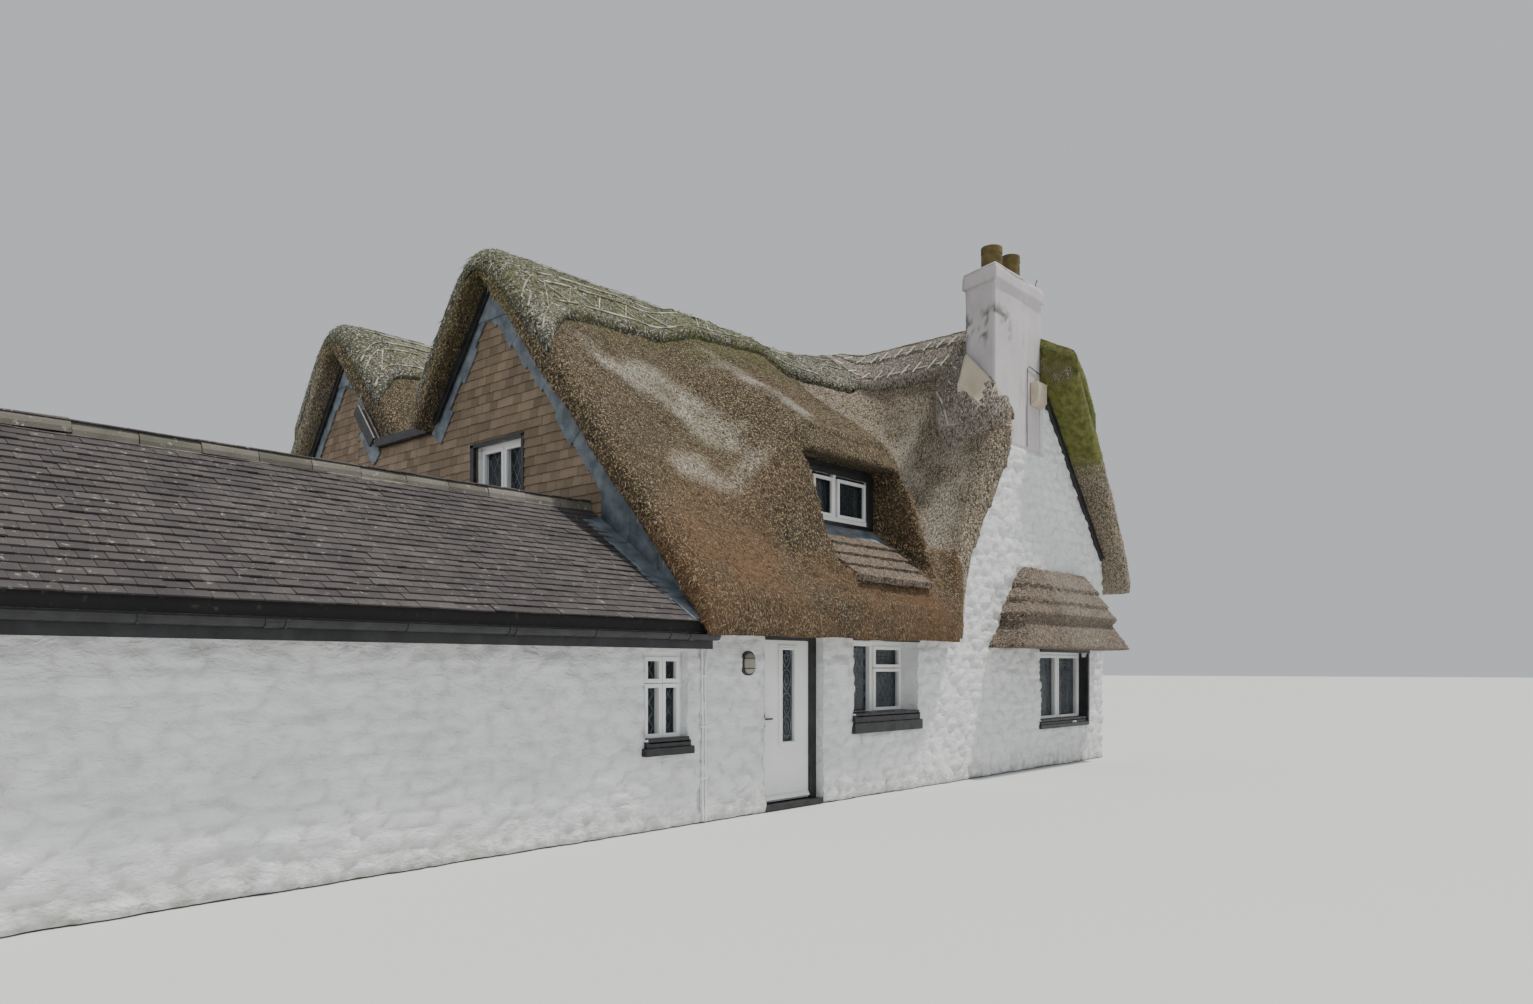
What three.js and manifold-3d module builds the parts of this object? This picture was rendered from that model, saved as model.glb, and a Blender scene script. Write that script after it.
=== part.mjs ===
// A thatched cottage with two gabled thatched ranges, a thatched cross range with a front gable
// and a chimney, and a low tiled wing. Lengths are millimetres. +X runs along the front to the
// right, +Y runs from the front to the back, and +Z is up.
import * as THREE from "three";
import { mergeVertices } from "three/addons/utils/BufferGeometryUtils.js";
import Module from "manifold-3d";

const wasm = await Module();
wasm.setup();

// Clearances between pieces that touch
const GAP = 0.35;
const ROOF_GAP = 0.8;

// Walls. The house corner is x = 0, y = 0 at the front left.
const WALL = 450;
const HOUSE_RIGHT = 10150;
const HOUSE_BACK = 10850;
const MAIN_BACK = 6900;
const REAR_SETBACK = 350;
const GABLE_LEFT = 5300;
const FLOOR_TOP = 60;
const UPPER_FLOOR = { bottom: 2080, top: 2260 };

// Thatch ranges: ridge line, pitch as rise over run, and the underside of the thatch
const MAIN = {
  ridgeY: 3450, ridgeZ: 6670, pitch: 1.22, underZ: 6450, underPitch: 1.184, underReach: 3950,
};
const REAR = {
  ridgeY: 7850, ridgeZ: 6800, pitch: 1.22, underZ: 6500, underPitch: 1.184, underReach: 3600,
};
const CROSS = {
  ridgeX: 7050, ridgeZ: 6920, leftPitch: 2.1, rightPitch: 1.08,
  underLeftX: 5350, underLeftZ: 2940, underRightZ: 6850, underReach: 3950,
};
const RIDGE_ROUND = 320;
const VALLEY_BLEND = 520;
const JUNCTION_RISE = 220;
const FRONT_EAVE = -420;
const BACK_EAVE = 11300;
const RIGHT_EAVE = 10800;
const SEAM_X = 4900;
const SEAM_Y = 5650;
const VERGE = { foot: 260, peak: 430, half: 3600, roll: 300, rollEnd: 1000 };
const FRONT_VERGE = { foot: 350, peak: 680, half: 3700 };
// Beside the stack's right edge the reed swells up at the front verge
const SWELL = {
  x0: 7300, x1: 7750, x2: 8250, x3: 9300, x4: 10500, y0: 300, y1: 1500, rise: 190, crest: 320, front: 620,
  linesX: [7750, 7900, 8050, 8200], linesY: [300, 460, 640, 880, 1200, 1560],
};
const GABLE_CORNER = { turnFrom: 4450, tuck: 130, top: 320 };
const EAVE_ROLL = 110;
const RIDGE_LAYER = {
  rise: 110, reach: 820, inset: 40, crossLeft: 6420, crossRight: 8450, lowest: 4500,
};
const SEAM_FILL = { half: 40, from: 500 };
const VALLEY = { y0: 4950, y1: 6310, top: 4830, right: 6300, lead: 120 };

// Eyebrow dormer, whose hood drops steeply past its right cheek
const CHEEK = { x: 4460, pitch: 8, round: 120, from: 900, length: 1200, lines: [4300, 4420, 4500, 4580, 4660] };
const HOOD = {
  x: 3400, flatLeft: 900, flatRight: 600, lipY: 400, lipZ: 4560, rise: 0.72, front: 3.1, side: 1.35,
  round: 420, backY: 2900, backFall: 3, underLip: 340,
};
const DORMER = {
  x0: 2200, x1: 4340, y: 860, sill: 3470, head: 4300, lipHead: 4240, apronPitch: 0.72,
  surround: 70, frame: 60, depth: 70, mullions: [0.33, 0.59], barInset: 10, space: 1500,
};

// Chimney
const STACK = { x0: 6250, x1: 7770, backX0: 6450, backX1: 7600, back: 600, base: 5000, top: 7400 };
const STACK_CAP = { top: 7630, out: 45 };
const SHOULDER = { x0: 5880, z0: 5450, z1: 6200, sideZ: 5800, back: 450 };
const CHIMNEY_CUT_BOTTOM = 3000;
const POTS = [
  { name: "chimney_pot_left", x: 6720, radius: 165, top: 8060 },
  { name: "chimney_pot_right", x: 7330, radius: 150, top: 8110 },
];

// Front door
const DOOR = { x0: 1070, x1: 1925, z0: 72, z1: 1895, y: 100, thick: 44, pane: 8 };
const DOORWAY = { x0: 1000, x1: 2040, top: 1975, clear: 6, frameOut: 30, frameZ: 10, stepOut: 40 };
const HINGE = {
  x: 1928, y: 153, radius: 8, plate: 42, thick: 5, height: 100, heights: [300, 1000, 1680],
};
const DOOR_LIGHT = { x0: 1430, x1: 1650, z0: 740, z1: 1790 };

// Windows as openings in the walls
const FRONT_WINDOW = { x0: 2660, x1: 4080, z0: 975, z1: 1915, y: 220, sillOut: 60 };
const CANOPY_WINDOW = { x0: 7700, x1: 9450, z0: 700, z1: 1840, y: 120, sillOut: 40 };
const WING_WINDOW = { x0: -760, x1: -190, z0: 840, z1: 1740, y: 60, sillOut: 60 };
const GABLE_WINDOW = { y0: 2940, y1: 3960, z0: 3480, z1: 4390, x: 60 };
const REAR_WINDOWS = [1900, 4700, 8200];
const RIGHT_WINDOWS = [2600, 7700];
const PLAIN_WINDOW = { width: 1200, z0: 950, z1: 2000 };
const GLAZING_LAP = 60;
const PANE = { thick: 6, edge: 25 };

// Tiled wing
const WING = {
  left: -6300, back: 3440, eaveZ: 1930, ridgeZ: 3270, eaveOut: 250, tiles: 90, wall: 300, verge: 120,
};
const RIDGE_TILE = { radius: 105, seat: 20 };
const WING_FASCIA = { thick: 30, height: 160 };
const WING_GUTTER = { radius: 58, wall: 6, drop: 20, stop: 8 };

// Small parts
const POT = { wall: 28, floor: 60, sides: 20 };
const FRAME = { edge: 55, depth: 60, sillRise: 45, sillLap: 10 };
const CLADDING = { thick: 45, bottom: 1900, corner: 60 };
const VALLEY_GUTTER = { depth: 110, height: 110, wall: 12 };
const CANOPY = {
  x0: 5980, x1: 9960, topX0: 7150, topX1: 9100, y: -640, topY: -60, z0: 1880, z1: 3060,
  skirtZ: 2360, layer: 75,
};
const HANDLE = {
  x: 1125, z: 1010, width: 42, thick: 8, low: 90, high: 130,
  leverHalf: 10, leverLength: 110, leverOut: 48, leverThick: 16,
};
const LAMP = { x: 720, z: 1630, halfX: 100, halfZ: 130, out: 95 };

// Cutting blocks run this far past what they cut, and the house lies inside these limits
const PAST = 100;
const LIMIT = { left: -7500, right: 12000, front: -2000, back: 13000, up: 9000, down: -1000 };

const material = (color, roughness, metalness = 0) =>
  new THREE.MeshStandardMaterial({ color, roughness, metalness });
const MATERIALS = {
  limewash: () => material(0xdfe3e4, 0.9),
  floor: () => material(0x8a7a66, 0.85),
  thatch: () => material(0x7b6248, 0.95),
  ridge: () => material(0x7d7a5e, 0.95),
  tile: () => material(0x6d5546, 0.9),
  lead: () => material(0x77818a, 0.7),
  blackPaint: () => material(0x16181b, 0.45),
  whitePaint: () => material(0xe6e8e4, 0.45),
  glass: () => material(0x4d5c66, 0.08),
  render: () => material(0xd3cbcb, 0.9),
  cement: () => material(0x9c9079, 0.95),
  pot: () => material(0x6b5a2d, 0.85),
  iron: () => material(0x1c1c1e, 0.5, 0.6),
};

// Solids
function toSolid(geometry) {
  const bare = geometry.clone();
  bare.deleteAttribute("normal");
  bare.deleteAttribute("uv");
  const merged = mergeVertices(bare, 0.001);
  const mesh = new wasm.Mesh({
    numProp: 3,
    vertProperties: new Float32Array(merged.attributes.position.array),
    triVerts: new Uint32Array(merged.index.array),
  });
  return new wasm.Manifold(mesh);
}

function toGeometry(solid) {
  const mesh = solid.getMesh();
  const geometry = new THREE.BufferGeometry();
  geometry.setAttribute("position", new THREE.BufferAttribute(new Float32Array(mesh.vertProperties), 3));
  geometry.setIndex(new THREE.BufferAttribute(new Uint32Array(mesh.triVerts), 1));
  geometry.computeVertexNormals();
  return geometry;
}

const box = (x0, x1, y0, y1, z0, z1) => toSolid(
  new THREE.BoxGeometry(x1 - x0, y1 - y0, z1 - z0).translate((x0 + x1) / 2, (y0 + y1) / 2, (z0 + z1) / 2),
);

function outline(points) {
  return new THREE.Shape(points.map(([a, b]) => new THREE.Vector2(a, b)));
}

// A prism along X from an outline of (y, z) points
function prismX(points, x0, x1) {
  const geometry = new THREE.ExtrudeGeometry(outline(points), { depth: x1 - x0, bevelEnabled: false });
  const turn = new THREE.Matrix4().makeBasis(
    new THREE.Vector3(0, 1, 0), new THREE.Vector3(0, 0, 1), new THREE.Vector3(1, 0, 0),
  );
  return toSolid(geometry.applyMatrix4(turn).translate(x0, 0, 0));
}

// A prism along Y from an outline of (x, z) points
function prismY(points, y0, y1) {
  const geometry = new THREE.ExtrudeGeometry(outline(points), { depth: y1 - y0, bevelEnabled: false });
  return toSolid(geometry.rotateX(Math.PI / 2).translate(0, y1, 0));
}

// A prism along Z from an outline of (x, y) points
function prismZ(points, z0, z1) {
  const geometry = new THREE.ExtrudeGeometry(outline(points), { depth: z1 - z0, bevelEnabled: false });
  return toSolid(geometry.translate(0, 0, z0));
}

// A solid between z = 0 and a height over a grid of plan points
function heightSolid(across, along, place, height) {
  const positions = [];
  const index = [];
  const row = across.length;
  const top = (i, j) => j * row + i;
  const bottom = (i, j) => along.length * row + top(i, j);
  for (const level of [height, () => 0]) {
    for (const v of along) {
      for (const u of across) {
        const [x, y] = place(u, v);
        positions.push(x, y, level(x, y));
      }
    }
  }
  const quad = (a, b, c, d) => index.push(a, b, c, a, c, d);
  for (let j = 0; j < along.length - 1; j += 1) {
    for (let i = 0; i < row - 1; i += 1) {
      quad(top(i, j), top(i + 1, j), top(i + 1, j + 1), top(i, j + 1));
      quad(bottom(i, j), bottom(i, j + 1), bottom(i + 1, j + 1), bottom(i + 1, j));
    }
  }
  const last = along.length - 1;
  for (let i = 0; i < row - 1; i += 1) {
    quad(bottom(i, 0), bottom(i + 1, 0), top(i + 1, 0), top(i, 0));
    quad(bottom(i + 1, last), bottom(i, last), top(i, last), top(i + 1, last));
  }
  for (let j = 0; j < last; j += 1) {
    quad(bottom(0, j + 1), bottom(0, j), top(0, j), top(0, j + 1));
    quad(bottom(row - 1, j), bottom(row - 1, j + 1), top(row - 1, j + 1), top(row - 1, j));
  }
  const geometry = new THREE.BufferGeometry();
  geometry.setAttribute("position", new THREE.BufferAttribute(new Float32Array(positions), 3));
  geometry.setIndex(index);
  return toSolid(geometry);
}

// Spacing of the points on a roof surface, with two closer rows beside each edge
const GRID = { close: 260, middle: 300, wide: 420, edge: [55, 160] };

// Shares from 0 to 1, closer together near both ends, for a stretch of the given length
function shares(length, step) {
  const fine = GRID.edge;
  const list = [0, fine[0] / length, fine[1] / length];
  const count = Math.max(2, Math.round((length - 2 * fine[1]) / step));
  for (let k = 1; k < count; k += 1) {
    list.push((fine[1] + (k * (length - 2 * fine[1])) / count) / length);
  }
  list.push(1 - fine[1] / length, 1 - fine[0] / length, 1);
  return list;
}

// Roof surface
const lerp = (a, b, share) => a + (b - a) * share;
const clamp = (value) => Math.min(1, Math.max(0, value));
const easeInOut = (value) => clamp(value) ** 2 * (3 - 2 * clamp(value));
const fall = (run, round) => Math.hypot(run, round) - round;

function softMax(a, b, blend) {
  const near = Math.max(0, blend - Math.abs(a - b));
  return Math.max(a, b) + (near * near) / (4 * blend);
}

// Past its ridge a range falls away fast, so that it ends inside the cross range
const pastCross = (x) => 4 * Math.max(0, x - CROSS.ridgeX);

function hoodTop(x, y) {
  const back = HOOD.backFall * Math.max(0, y - HOOD.backY);
  const along = y > HOOD.lipY ? HOOD.rise * (y - HOOD.lipY) - back : HOOD.front * (y - HOOD.lipY);
  const flat = x > HOOD.x ? HOOD.flatRight : HOOD.flatLeft;
  const side = fall(Math.max(0, Math.abs(x - HOOD.x) - flat), HOOD.round);
  const near = 1 - easeInOut((y - CHEEK.from) / CHEEK.length);
  const cheek = fall(Math.max(0, x - CHEEK.x), CHEEK.round) * near;
  return HOOD.lipZ + along - HOOD.side * side - CHEEK.pitch * cheek;
}

function mainTop(x, y) {
  const rise = JUNCTION_RISE * easeInOut((x - SEAM_X) / (CROSS.ridgeX - SEAM_X));
  return MAIN.ridgeZ + rise - MAIN.pitch * fall(y - MAIN.ridgeY, RIDGE_ROUND) - pastCross(x);
}

function rearTop(x, y) {
  return REAR.ridgeZ - REAR.pitch * fall(y - REAR.ridgeY, RIDGE_ROUND) - pastCross(x);
}

function crossTop(x) {
  const pitch = x < CROSS.ridgeX ? CROSS.leftPitch : CROSS.rightPitch;
  return CROSS.ridgeZ - pitch * fall(x - CROSS.ridgeX, RIDGE_ROUND);
}

function roofTop(x, y) {
  const front = softMax(mainTop(x, y), hoodTop(x, y), VALLEY_BLEND);
  const ranges = softMax(front, rearTop(x, y), VALLEY_BLEND / 4);
  return softMax(ranges, crossTop(x), VALLEY_BLEND);
}

// How far a gable's thatch runs past the wall, more at the peak than at the foot
function vergeReach(verge, offset) {
  return verge.foot + (verge.peak - verge.foot) * clamp(1 - Math.abs(offset) / verge.half);
}

function leftEnd(y) {
  const main = y < SEAM_Y;
  const range = main ? MAIN : REAR;
  return (main ? 0 : REAR_SETBACK) - vergeReach(VERGE, y - range.ridgeY);
}

// The front eave curves back to the wall where the front gable begins
function frontEnd(x) {
  if (x > (STACK.x0 + STACK.x1) / 2) return -vergeReach(FRONT_VERGE, x - CROSS.ridgeX);
  const { turnFrom, tuck, top } = GABLE_CORNER;
  const eave = lerp(FRONT_EAVE, -tuck, easeInOut((x - turnFrom) / (GABLE_LEFT - turnFrom)));
  return eave - (top - tuck) * easeInOut((x - GABLE_LEFT) / (STACK.x0 - GABLE_LEFT));
}

const rolled = (distance, radius) => {
  const inside = Math.max(0, Math.min(distance, radius));
  return radius - Math.sqrt(radius * radius - (radius - inside) ** 2);
};

// The roof surface with its edges rolled down at the verges and eaves
function vergeSwell(x, y) {
  const { x0, x1, x2, x3, x4, y0, y1, rise, crest, front } = SWELL;
  const near = 1 - easeInOut((y - y0) / (y1 - y0));
  const away = easeInOut((x - x1) / (x2 - x1));
  const lower = 1 - easeInOut((x - x3) / (x4 - x3));
  const top = crest * easeInOut((x - x0) / (x1 - x0)) * (1 - away) * clamp(1 + y / front);
  return near * (rise * away * lower + top);
}

function thatchTop(x, y) {
  const verge = x < VERGE.rollEnd ? rolled(x - leftEnd(y), VERGE.roll) : 0;
  const edges = verge + rolled(y - frontEnd(x), EAVE_ROLL) + rolled(BACK_EAVE - y, EAVE_ROLL)
    + rolled(RIGHT_EAVE - x, EAVE_ROLL);
  return roofTop(x, y) + vergeSwell(x, y) - edges;
}

// Shares with lines at the given distances too, in place of any that lie close to them
function sharesWith(length, step, distances) {
  const extra = distances.map((distance) => distance / length);
  const clear = (share) => extra.every((other) => Math.abs(other - share) * length > GRID.edge[0]);
  return [...shares(length, step).filter(clear), ...extra].sort((a, b) => a - b);
}

function mainBlock(lift = 0) {
  const across = sharesWith(SEAM_X + VERGE.foot, GRID.wide, CHEEK.lines.map((x) => x + VERGE.foot));
  return heightSolid(across, shares(SEAM_Y - FRONT_EAVE, GRID.close), (u, v) => {
    const front = frontEnd(lerp(leftEnd(FRONT_EAVE), SEAM_X - GAP, u));
    const y = lerp(front, SEAM_Y - GAP, v);
    return [lerp(leftEnd(y), SEAM_X - GAP, u), y];
  }, (x, y) => thatchTop(x, y) + lift);
}

function rearBlock(lift = 0) {
  const across = shares(SEAM_X - REAR_SETBACK + VERGE.foot, GRID.wide);
  return heightSolid(across, shares(BACK_EAVE - SEAM_Y, GRID.middle), (u, v) => {
    const y = lerp(SEAM_Y, BACK_EAVE, v);
    return [lerp(leftEnd(y), SEAM_X - GAP, u), y];
  }, (x, y) => thatchTop(x, y) + lift);
}

function crossBlock(lift = 0) {
  const across = sharesWith(RIGHT_EAVE - SEAM_X, GRID.close, SWELL.linesX.map((x) => x - SEAM_X));
  const along = sharesWith(BACK_EAVE - FRONT_EAVE, GRID.wide, SWELL.linesY);
  return heightSolid(across, along, (u, v) => {
    const x = lerp(SEAM_X, RIGHT_EAVE, u);
    return [x, lerp(frontEnd(x), BACK_EAVE, v)];
  }, (x, y) => thatchTop(x, y) + lift);
}

// What lies under the thatch: the three roof spaces and the lead valley between the ranges
function roofVoid(drop, valleyTop) {
  const deep = LIMIT.down;
  const gabled = ({ ridgeY, underZ, underPitch, underReach }) => [
    [ridgeY, underZ - drop],
    [ridgeY - underReach, underZ - drop - underPitch * underReach],
    [ridgeY - underReach, deep],
    [ridgeY + underReach, deep],
    [ridgeY + underReach, underZ - drop - underPitch * underReach],
  ];
  const main = prismX(gabled(MAIN), LIMIT.left, CROSS.ridgeX);
  const rear = prismX(gabled(REAR), LIMIT.left, CROSS.ridgeX);
  const slopes = CROSS.leftPitch + CROSS.rightPitch;
  const leftAtRidge = CROSS.underLeftZ + CROSS.leftPitch * (CROSS.ridgeX - CROSS.underLeftX);
  const peak = (CROSS.underRightZ - leftAtRidge) / slopes;
  const leftFoot = CROSS.underLeftX - CROSS.underLeftZ / CROSS.leftPitch;
  const rightFoot = CROSS.underReach;
  const cross = prismY([
    [leftFoot, -drop],
    [leftFoot, deep],
    [CROSS.ridgeX + rightFoot, deep],
    [CROSS.ridgeX + rightFoot, CROSS.underRightZ - drop - CROSS.rightPitch * rightFoot],
    [CROSS.ridgeX + peak, CROSS.underRightZ - drop - CROSS.rightPitch * peak],
  ], LIMIT.front, LIMIT.back);
  const valley = box(LIMIT.left, VALLEY.right, VALLEY.y0, VALLEY.y1, deep, valleyTop);
  return main.add(rear).add(cross).add(valley);
}

const roofSpace = roofVoid(0, VALLEY.top);
const wallSpace = roofVoid(ROOF_GAP, VALLEY.top - VALLEY.lead - 2 * GAP);

// Pieces
const house = new THREE.Group();

function add(name, solid, makeMaterial) {
  const mesh = new THREE.Mesh(toGeometry(solid), makeMaterial());
  mesh.name = name;
  house.add(mesh);
}

const opening = ({ x0, x1, z0, z1 }) => box(x0, x1, -PAST, WALL + PAST, z0, z1);

function plainHoles(centres, make) {
  const half = PLAIN_WINDOW.width / 2;
  return centres.map((centre) => (
    make(centre - half, centre + half, PLAIN_WINDOW.z0, PLAIN_WINDOW.z1)
  ));
}

// A wall from the ground up to the thatch
const wall = (x0, x1, y0, y1, ...holes) => {
  const slab = box(x0, x1, y0, y1, 0, LIMIT.up).intersect(wallSpace);
  return holes.reduce((solid, hole) => solid.subtract(hole), slab);
};

function frontWalls() {
  add("front_wall_left", wall(0, DOORWAY.x0, 0, WALL), MATERIALS.limewash);
  const lintel = box(DOORWAY.x0 + GAP, DOORWAY.x1 - GAP, 0, WALL, DOORWAY.top, LIMIT.up);
  add("front_wall_over_door", lintel.intersect(wallSpace), MATERIALS.limewash);
  const right = wall(DOORWAY.x1, GABLE_LEFT - GAP, 0, WALL, opening(FRONT_WINDOW));
  add("front_wall_right", right, MATERIALS.limewash);
  const stackSpace = box(
    STACK.x0 - GAP, STACK.x1 + GAP, -PAST, STACK.back, STACK.base - GAP, LIMIT.up,
  );
  const shoulderSpace = box(
    SHOULDER.x0, STACK.x0, -PAST, STACK.back, SHOULDER.z0 - GAP, LIMIT.up,
  );
  const holes = [opening(CANOPY_WINDOW), stackSpace, shoulderSpace];
  add("front_gable_wall", wall(GABLE_LEFT, HOUSE_RIGHT, 0, WALL, ...holes), MATERIALS.limewash);
}

// The left gables are one wall that steps in at the rear range
function leftWall() {
  const { y0, y1, z0, z1 } = GABLE_WINDOW;
  const hole = box(-PAST, WALL + PAST, y0, y1, z0, z1);
  const main = wall(0, WALL, WALL + GAP, MAIN_BACK, hole);
  const back = HOUSE_BACK - WALL - GAP;
  const rear = wall(REAR_SETBACK, REAR_SETBACK + WALL, MAIN_BACK, back);
  add("left_gable_wall", main.add(rear), MATERIALS.limewash);
}

function hiddenWalls() {
  const deep = WALL + PAST;
  const rearHoles = plainHoles(REAR_WINDOWS, (a, b, z0, z1) => (
    box(a, b, HOUSE_BACK - deep, HOUSE_BACK + PAST, z0, z1)
  ));
  const rear = wall(REAR_SETBACK, HOUSE_RIGHT, HOUSE_BACK - WALL, HOUSE_BACK, ...rearHoles);
  add("rear_wall", rear, MATERIALS.limewash);
  const rightHoles = plainHoles(RIGHT_WINDOWS, (a, b, z0, z1) => (
    box(HOUSE_RIGHT - deep, HOUSE_RIGHT + PAST, a, b, z0, z1)
  ));
  const sideBack = HOUSE_BACK - WALL - GAP;
  const right = wall(HOUSE_RIGHT - WALL, HOUSE_RIGHT, WALL + GAP, sideBack, ...rightHoles);
  add("right_wall", right, MATERIALS.limewash);
}

// A floor over the whole house inside the walls, which steps in at the set back rear range
function floorOutline() {
  const left = WALL + GAP;
  const rearLeft = REAR_SETBACK + WALL + GAP;
  const back = HOUSE_BACK - WALL - GAP;
  const right = HOUSE_RIGHT - WALL - GAP;
  const step = MAIN_BACK - GAP;
  return [[left, left], [right, left], [right, back], [rearLeft, back], [rearLeft, step], [left, step]];
}

function floors() {
  add("ground_floor", prismZ(floorOutline(), 0, FLOOR_TOP), MATERIALS.floor);
  const upper = prismZ(floorOutline(), UPPER_FLOOR.bottom, UPPER_FLOOR.top).intersect(wallSpace);
  add("upper_floor", upper, MATERIALS.floor);
}

// The recess in front of the dormer window, down to its apron, and the space behind the window
function dormerCut() {
  const { x0, x1, y, sill, head, lipHead, apronPitch, depth, space } = DORMER;
  const front = LIMIT.front;
  const recess = prismX([
    [y + depth, sill],
    [y + depth, head],
    [y, head],
    [HOOD.underLip, lipHead],
    [HOOD.underLip, LIMIT.up],
    [front, LIMIT.up],
    [front, sill - apronPitch * (y - front)],
    [y, sill],
  ], x0, x1);
  return recess.add(box(x0, x1, y, y + space, sill, head));
}

function chimneyCut() {
  const stack = box(
    STACK.x0 - GAP, STACK.x1 + GAP, LIMIT.front, STACK.back + GAP, CHIMNEY_CUT_BOTTOM, LIMIT.up,
  );
  const shoulder = box(
    SHOULDER.x0 - GAP, STACK.x0, -PAST, SHOULDER.back + GAP, SHOULDER.z0 - GAP, LIMIT.up,
  );
  return stack.add(shoulder);
}

function thatch() {
  const main = mainBlock().subtract(roofSpace).subtract(dormerCut());
  const rear = rearBlock().subtract(roofSpace);
  const cross = crossBlock().subtract(roofSpace).subtract(chimneyCut());
  add("main_thatch", main, MATERIALS.thatch);
  add("rear_thatch", rear, MATERIALS.thatch);
  add("cross_thatch", cross, MATERIALS.thatch);
}

// The raised ridge layers lie on the thatch
function ridgeSolid(along, across, place) {
  const top = (x, y) => thatchTop(x, y) + RIDGE_LAYER.rise;
  return heightSolid(shares(along, GRID.middle), shares(across, GRID.middle), place, top);
}

function rangeRidge(range) {
  const { reach, crossLeft, inset } = RIDGE_LAYER;
  return ridgeSolid(crossLeft, 2 * reach, (u, v) => {
    const y = lerp(range.ridgeY - reach, range.ridgeY + reach, v);
    return [lerp(leftEnd(y) + inset, crossLeft - GAP, u), y];
  });
}

function crossRidge() {
  const { crossLeft, crossRight, inset } = RIDGE_LAYER;
  return ridgeSolid(crossRight - crossLeft, BACK_EAVE, (u, v) => {
    const x = lerp(crossLeft, crossRight, u);
    return [x, lerp(frontEnd(x) + inset, BACK_EAVE - inset, v)];
  });
}

// Fills the joints between the thatch blocks from below, so that no layer runs down into them
function seamFill() {
  const { half, from } = SEAM_FILL;
  const height = (x, y) => thatchTop(x, y) - half;
  const across = heightSolid([0, 1], shares(BACK_EAVE, GRID.middle),
    (u, v) => [SEAM_X + lerp(-half, half, u), lerp(0, BACK_EAVE - from, v)], height);
  const along = heightSolid(shares(SEAM_X, GRID.middle), [0, 1],
    (u, v) => [lerp(from, SEAM_X, u), SEAM_Y + lerp(-half, half, v)], height);
  return across.add(along);
}

function largest(solid) {
  const parts = solid.decompose();
  return parts.reduce((best, part) => (part.volume() > best.volume() ? part : best));
}

function ridges() {
  const blocks = mainBlock(ROOF_GAP).add(rearBlock(ROOF_GAP)).add(crossBlock(ROOF_GAP));
  const under = blocks.add(seamFill()).add(chimneyCut());
  const above = box(
    LIMIT.left, LIMIT.right, LIMIT.front, LIMIT.back, RIDGE_LAYER.lowest, LIMIT.up,
  );
  const clear = (solid) => largest(solid.intersect(above).subtract(under));
  add("main_ridge", clear(rangeRidge(MAIN)), MATERIALS.ridge);
  add("rear_ridge", clear(rangeRidge(REAR)), MATERIALS.ridge);
  add("cross_ridge", clear(crossRidge()), MATERIALS.ridge);
}

// An upright round bar about the origin
const upright = (radius, segments, height) =>
  new THREE.CylinderGeometry(radius, radius, height, segments).rotateX(Math.PI / 2);

function chimney() {
  const plan = (out) => [
    [STACK.x0 - out, -out], [STACK.x1 + out, -out],
    [STACK.backX1 + out, STACK.back + out], [STACK.backX0 - out, STACK.back + out],
  ];
  const cap = prismZ(plan(STACK_CAP.out), STACK.top, STACK_CAP.top);
  add("chimney_stack", prismZ(plan(0), STACK.base, STACK.top).add(cap), MATERIALS.render);
  const { x0, z0, z1, sideZ, back } = SHOULDER;
  const right = STACK.x0 - GAP;
  const outlineXZ = [[x0, z0], [right, z0], [right, z1], [x0, sideZ]];
  add("chimney_shoulder", prismY(outlineXZ, 0, back), MATERIALS.cement);
  for (const { name, x, radius, top } of POTS) {
    const height = top - STACK_CAP.top - GAP;
    const middle = STACK_CAP.top + GAP + height / 2;
    const y = STACK.back / 2;
    const outer = upright(radius, POT.sides, height).translate(x, y, middle);
    const flue = upright(radius - POT.wall, POT.sides, height).translate(x, y, middle + POT.floor);
    add(name, toSolid(outer).subtract(toSolid(flue)), MATERIALS.pot);
  }
}

// A block with a rectangular foot and a smaller rectangular top
function taperedBlock(foot, top) {
  const corners = ({ x0, x1, y0, y1, z }) => [[x0, y0, z], [x1, y0, z], [x1, y1, z], [x0, y1, z]];
  const positions = [...corners(foot), ...corners(top)].flat();
  const geometry = new THREE.BufferGeometry();
  geometry.setAttribute("position", new THREE.BufferAttribute(new Float32Array(positions), 3));
  geometry.setIndex([
    0, 2, 1, 0, 3, 2, 4, 5, 6, 4, 6, 7,
    0, 1, 5, 0, 5, 4, 1, 2, 6, 1, 6, 5, 2, 3, 7, 2, 7, 6, 3, 0, 4, 3, 4, 7,
  ]);
  return toSolid(geometry);
}

// The thatched canopy, with its upper part raised by one more layer
function canopy() {
  const { x0, x1, topX0, topX1, y, topY, z0, z1, skirtZ, layer } = CANOPY;
  const wallY = -GAP;
  const block = (out) => taperedBlock(
    { x0: x0 - out, x1: x1 + out, y0: y - out, y1: wallY, z: z0 },
    { x0: topX0 - out, x1: topX1 + out, y0: topY - out, y1: wallY, z: z1 + out },
  );
  const capBand = box(x0 - PAST, x1 + PAST, y - PAST, 0, skirtZ, z1 + PAST);
  add("canopy_thatch", block(0).add(block(layer).intersect(capBand)), MATERIALS.thatch);
}

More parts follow.
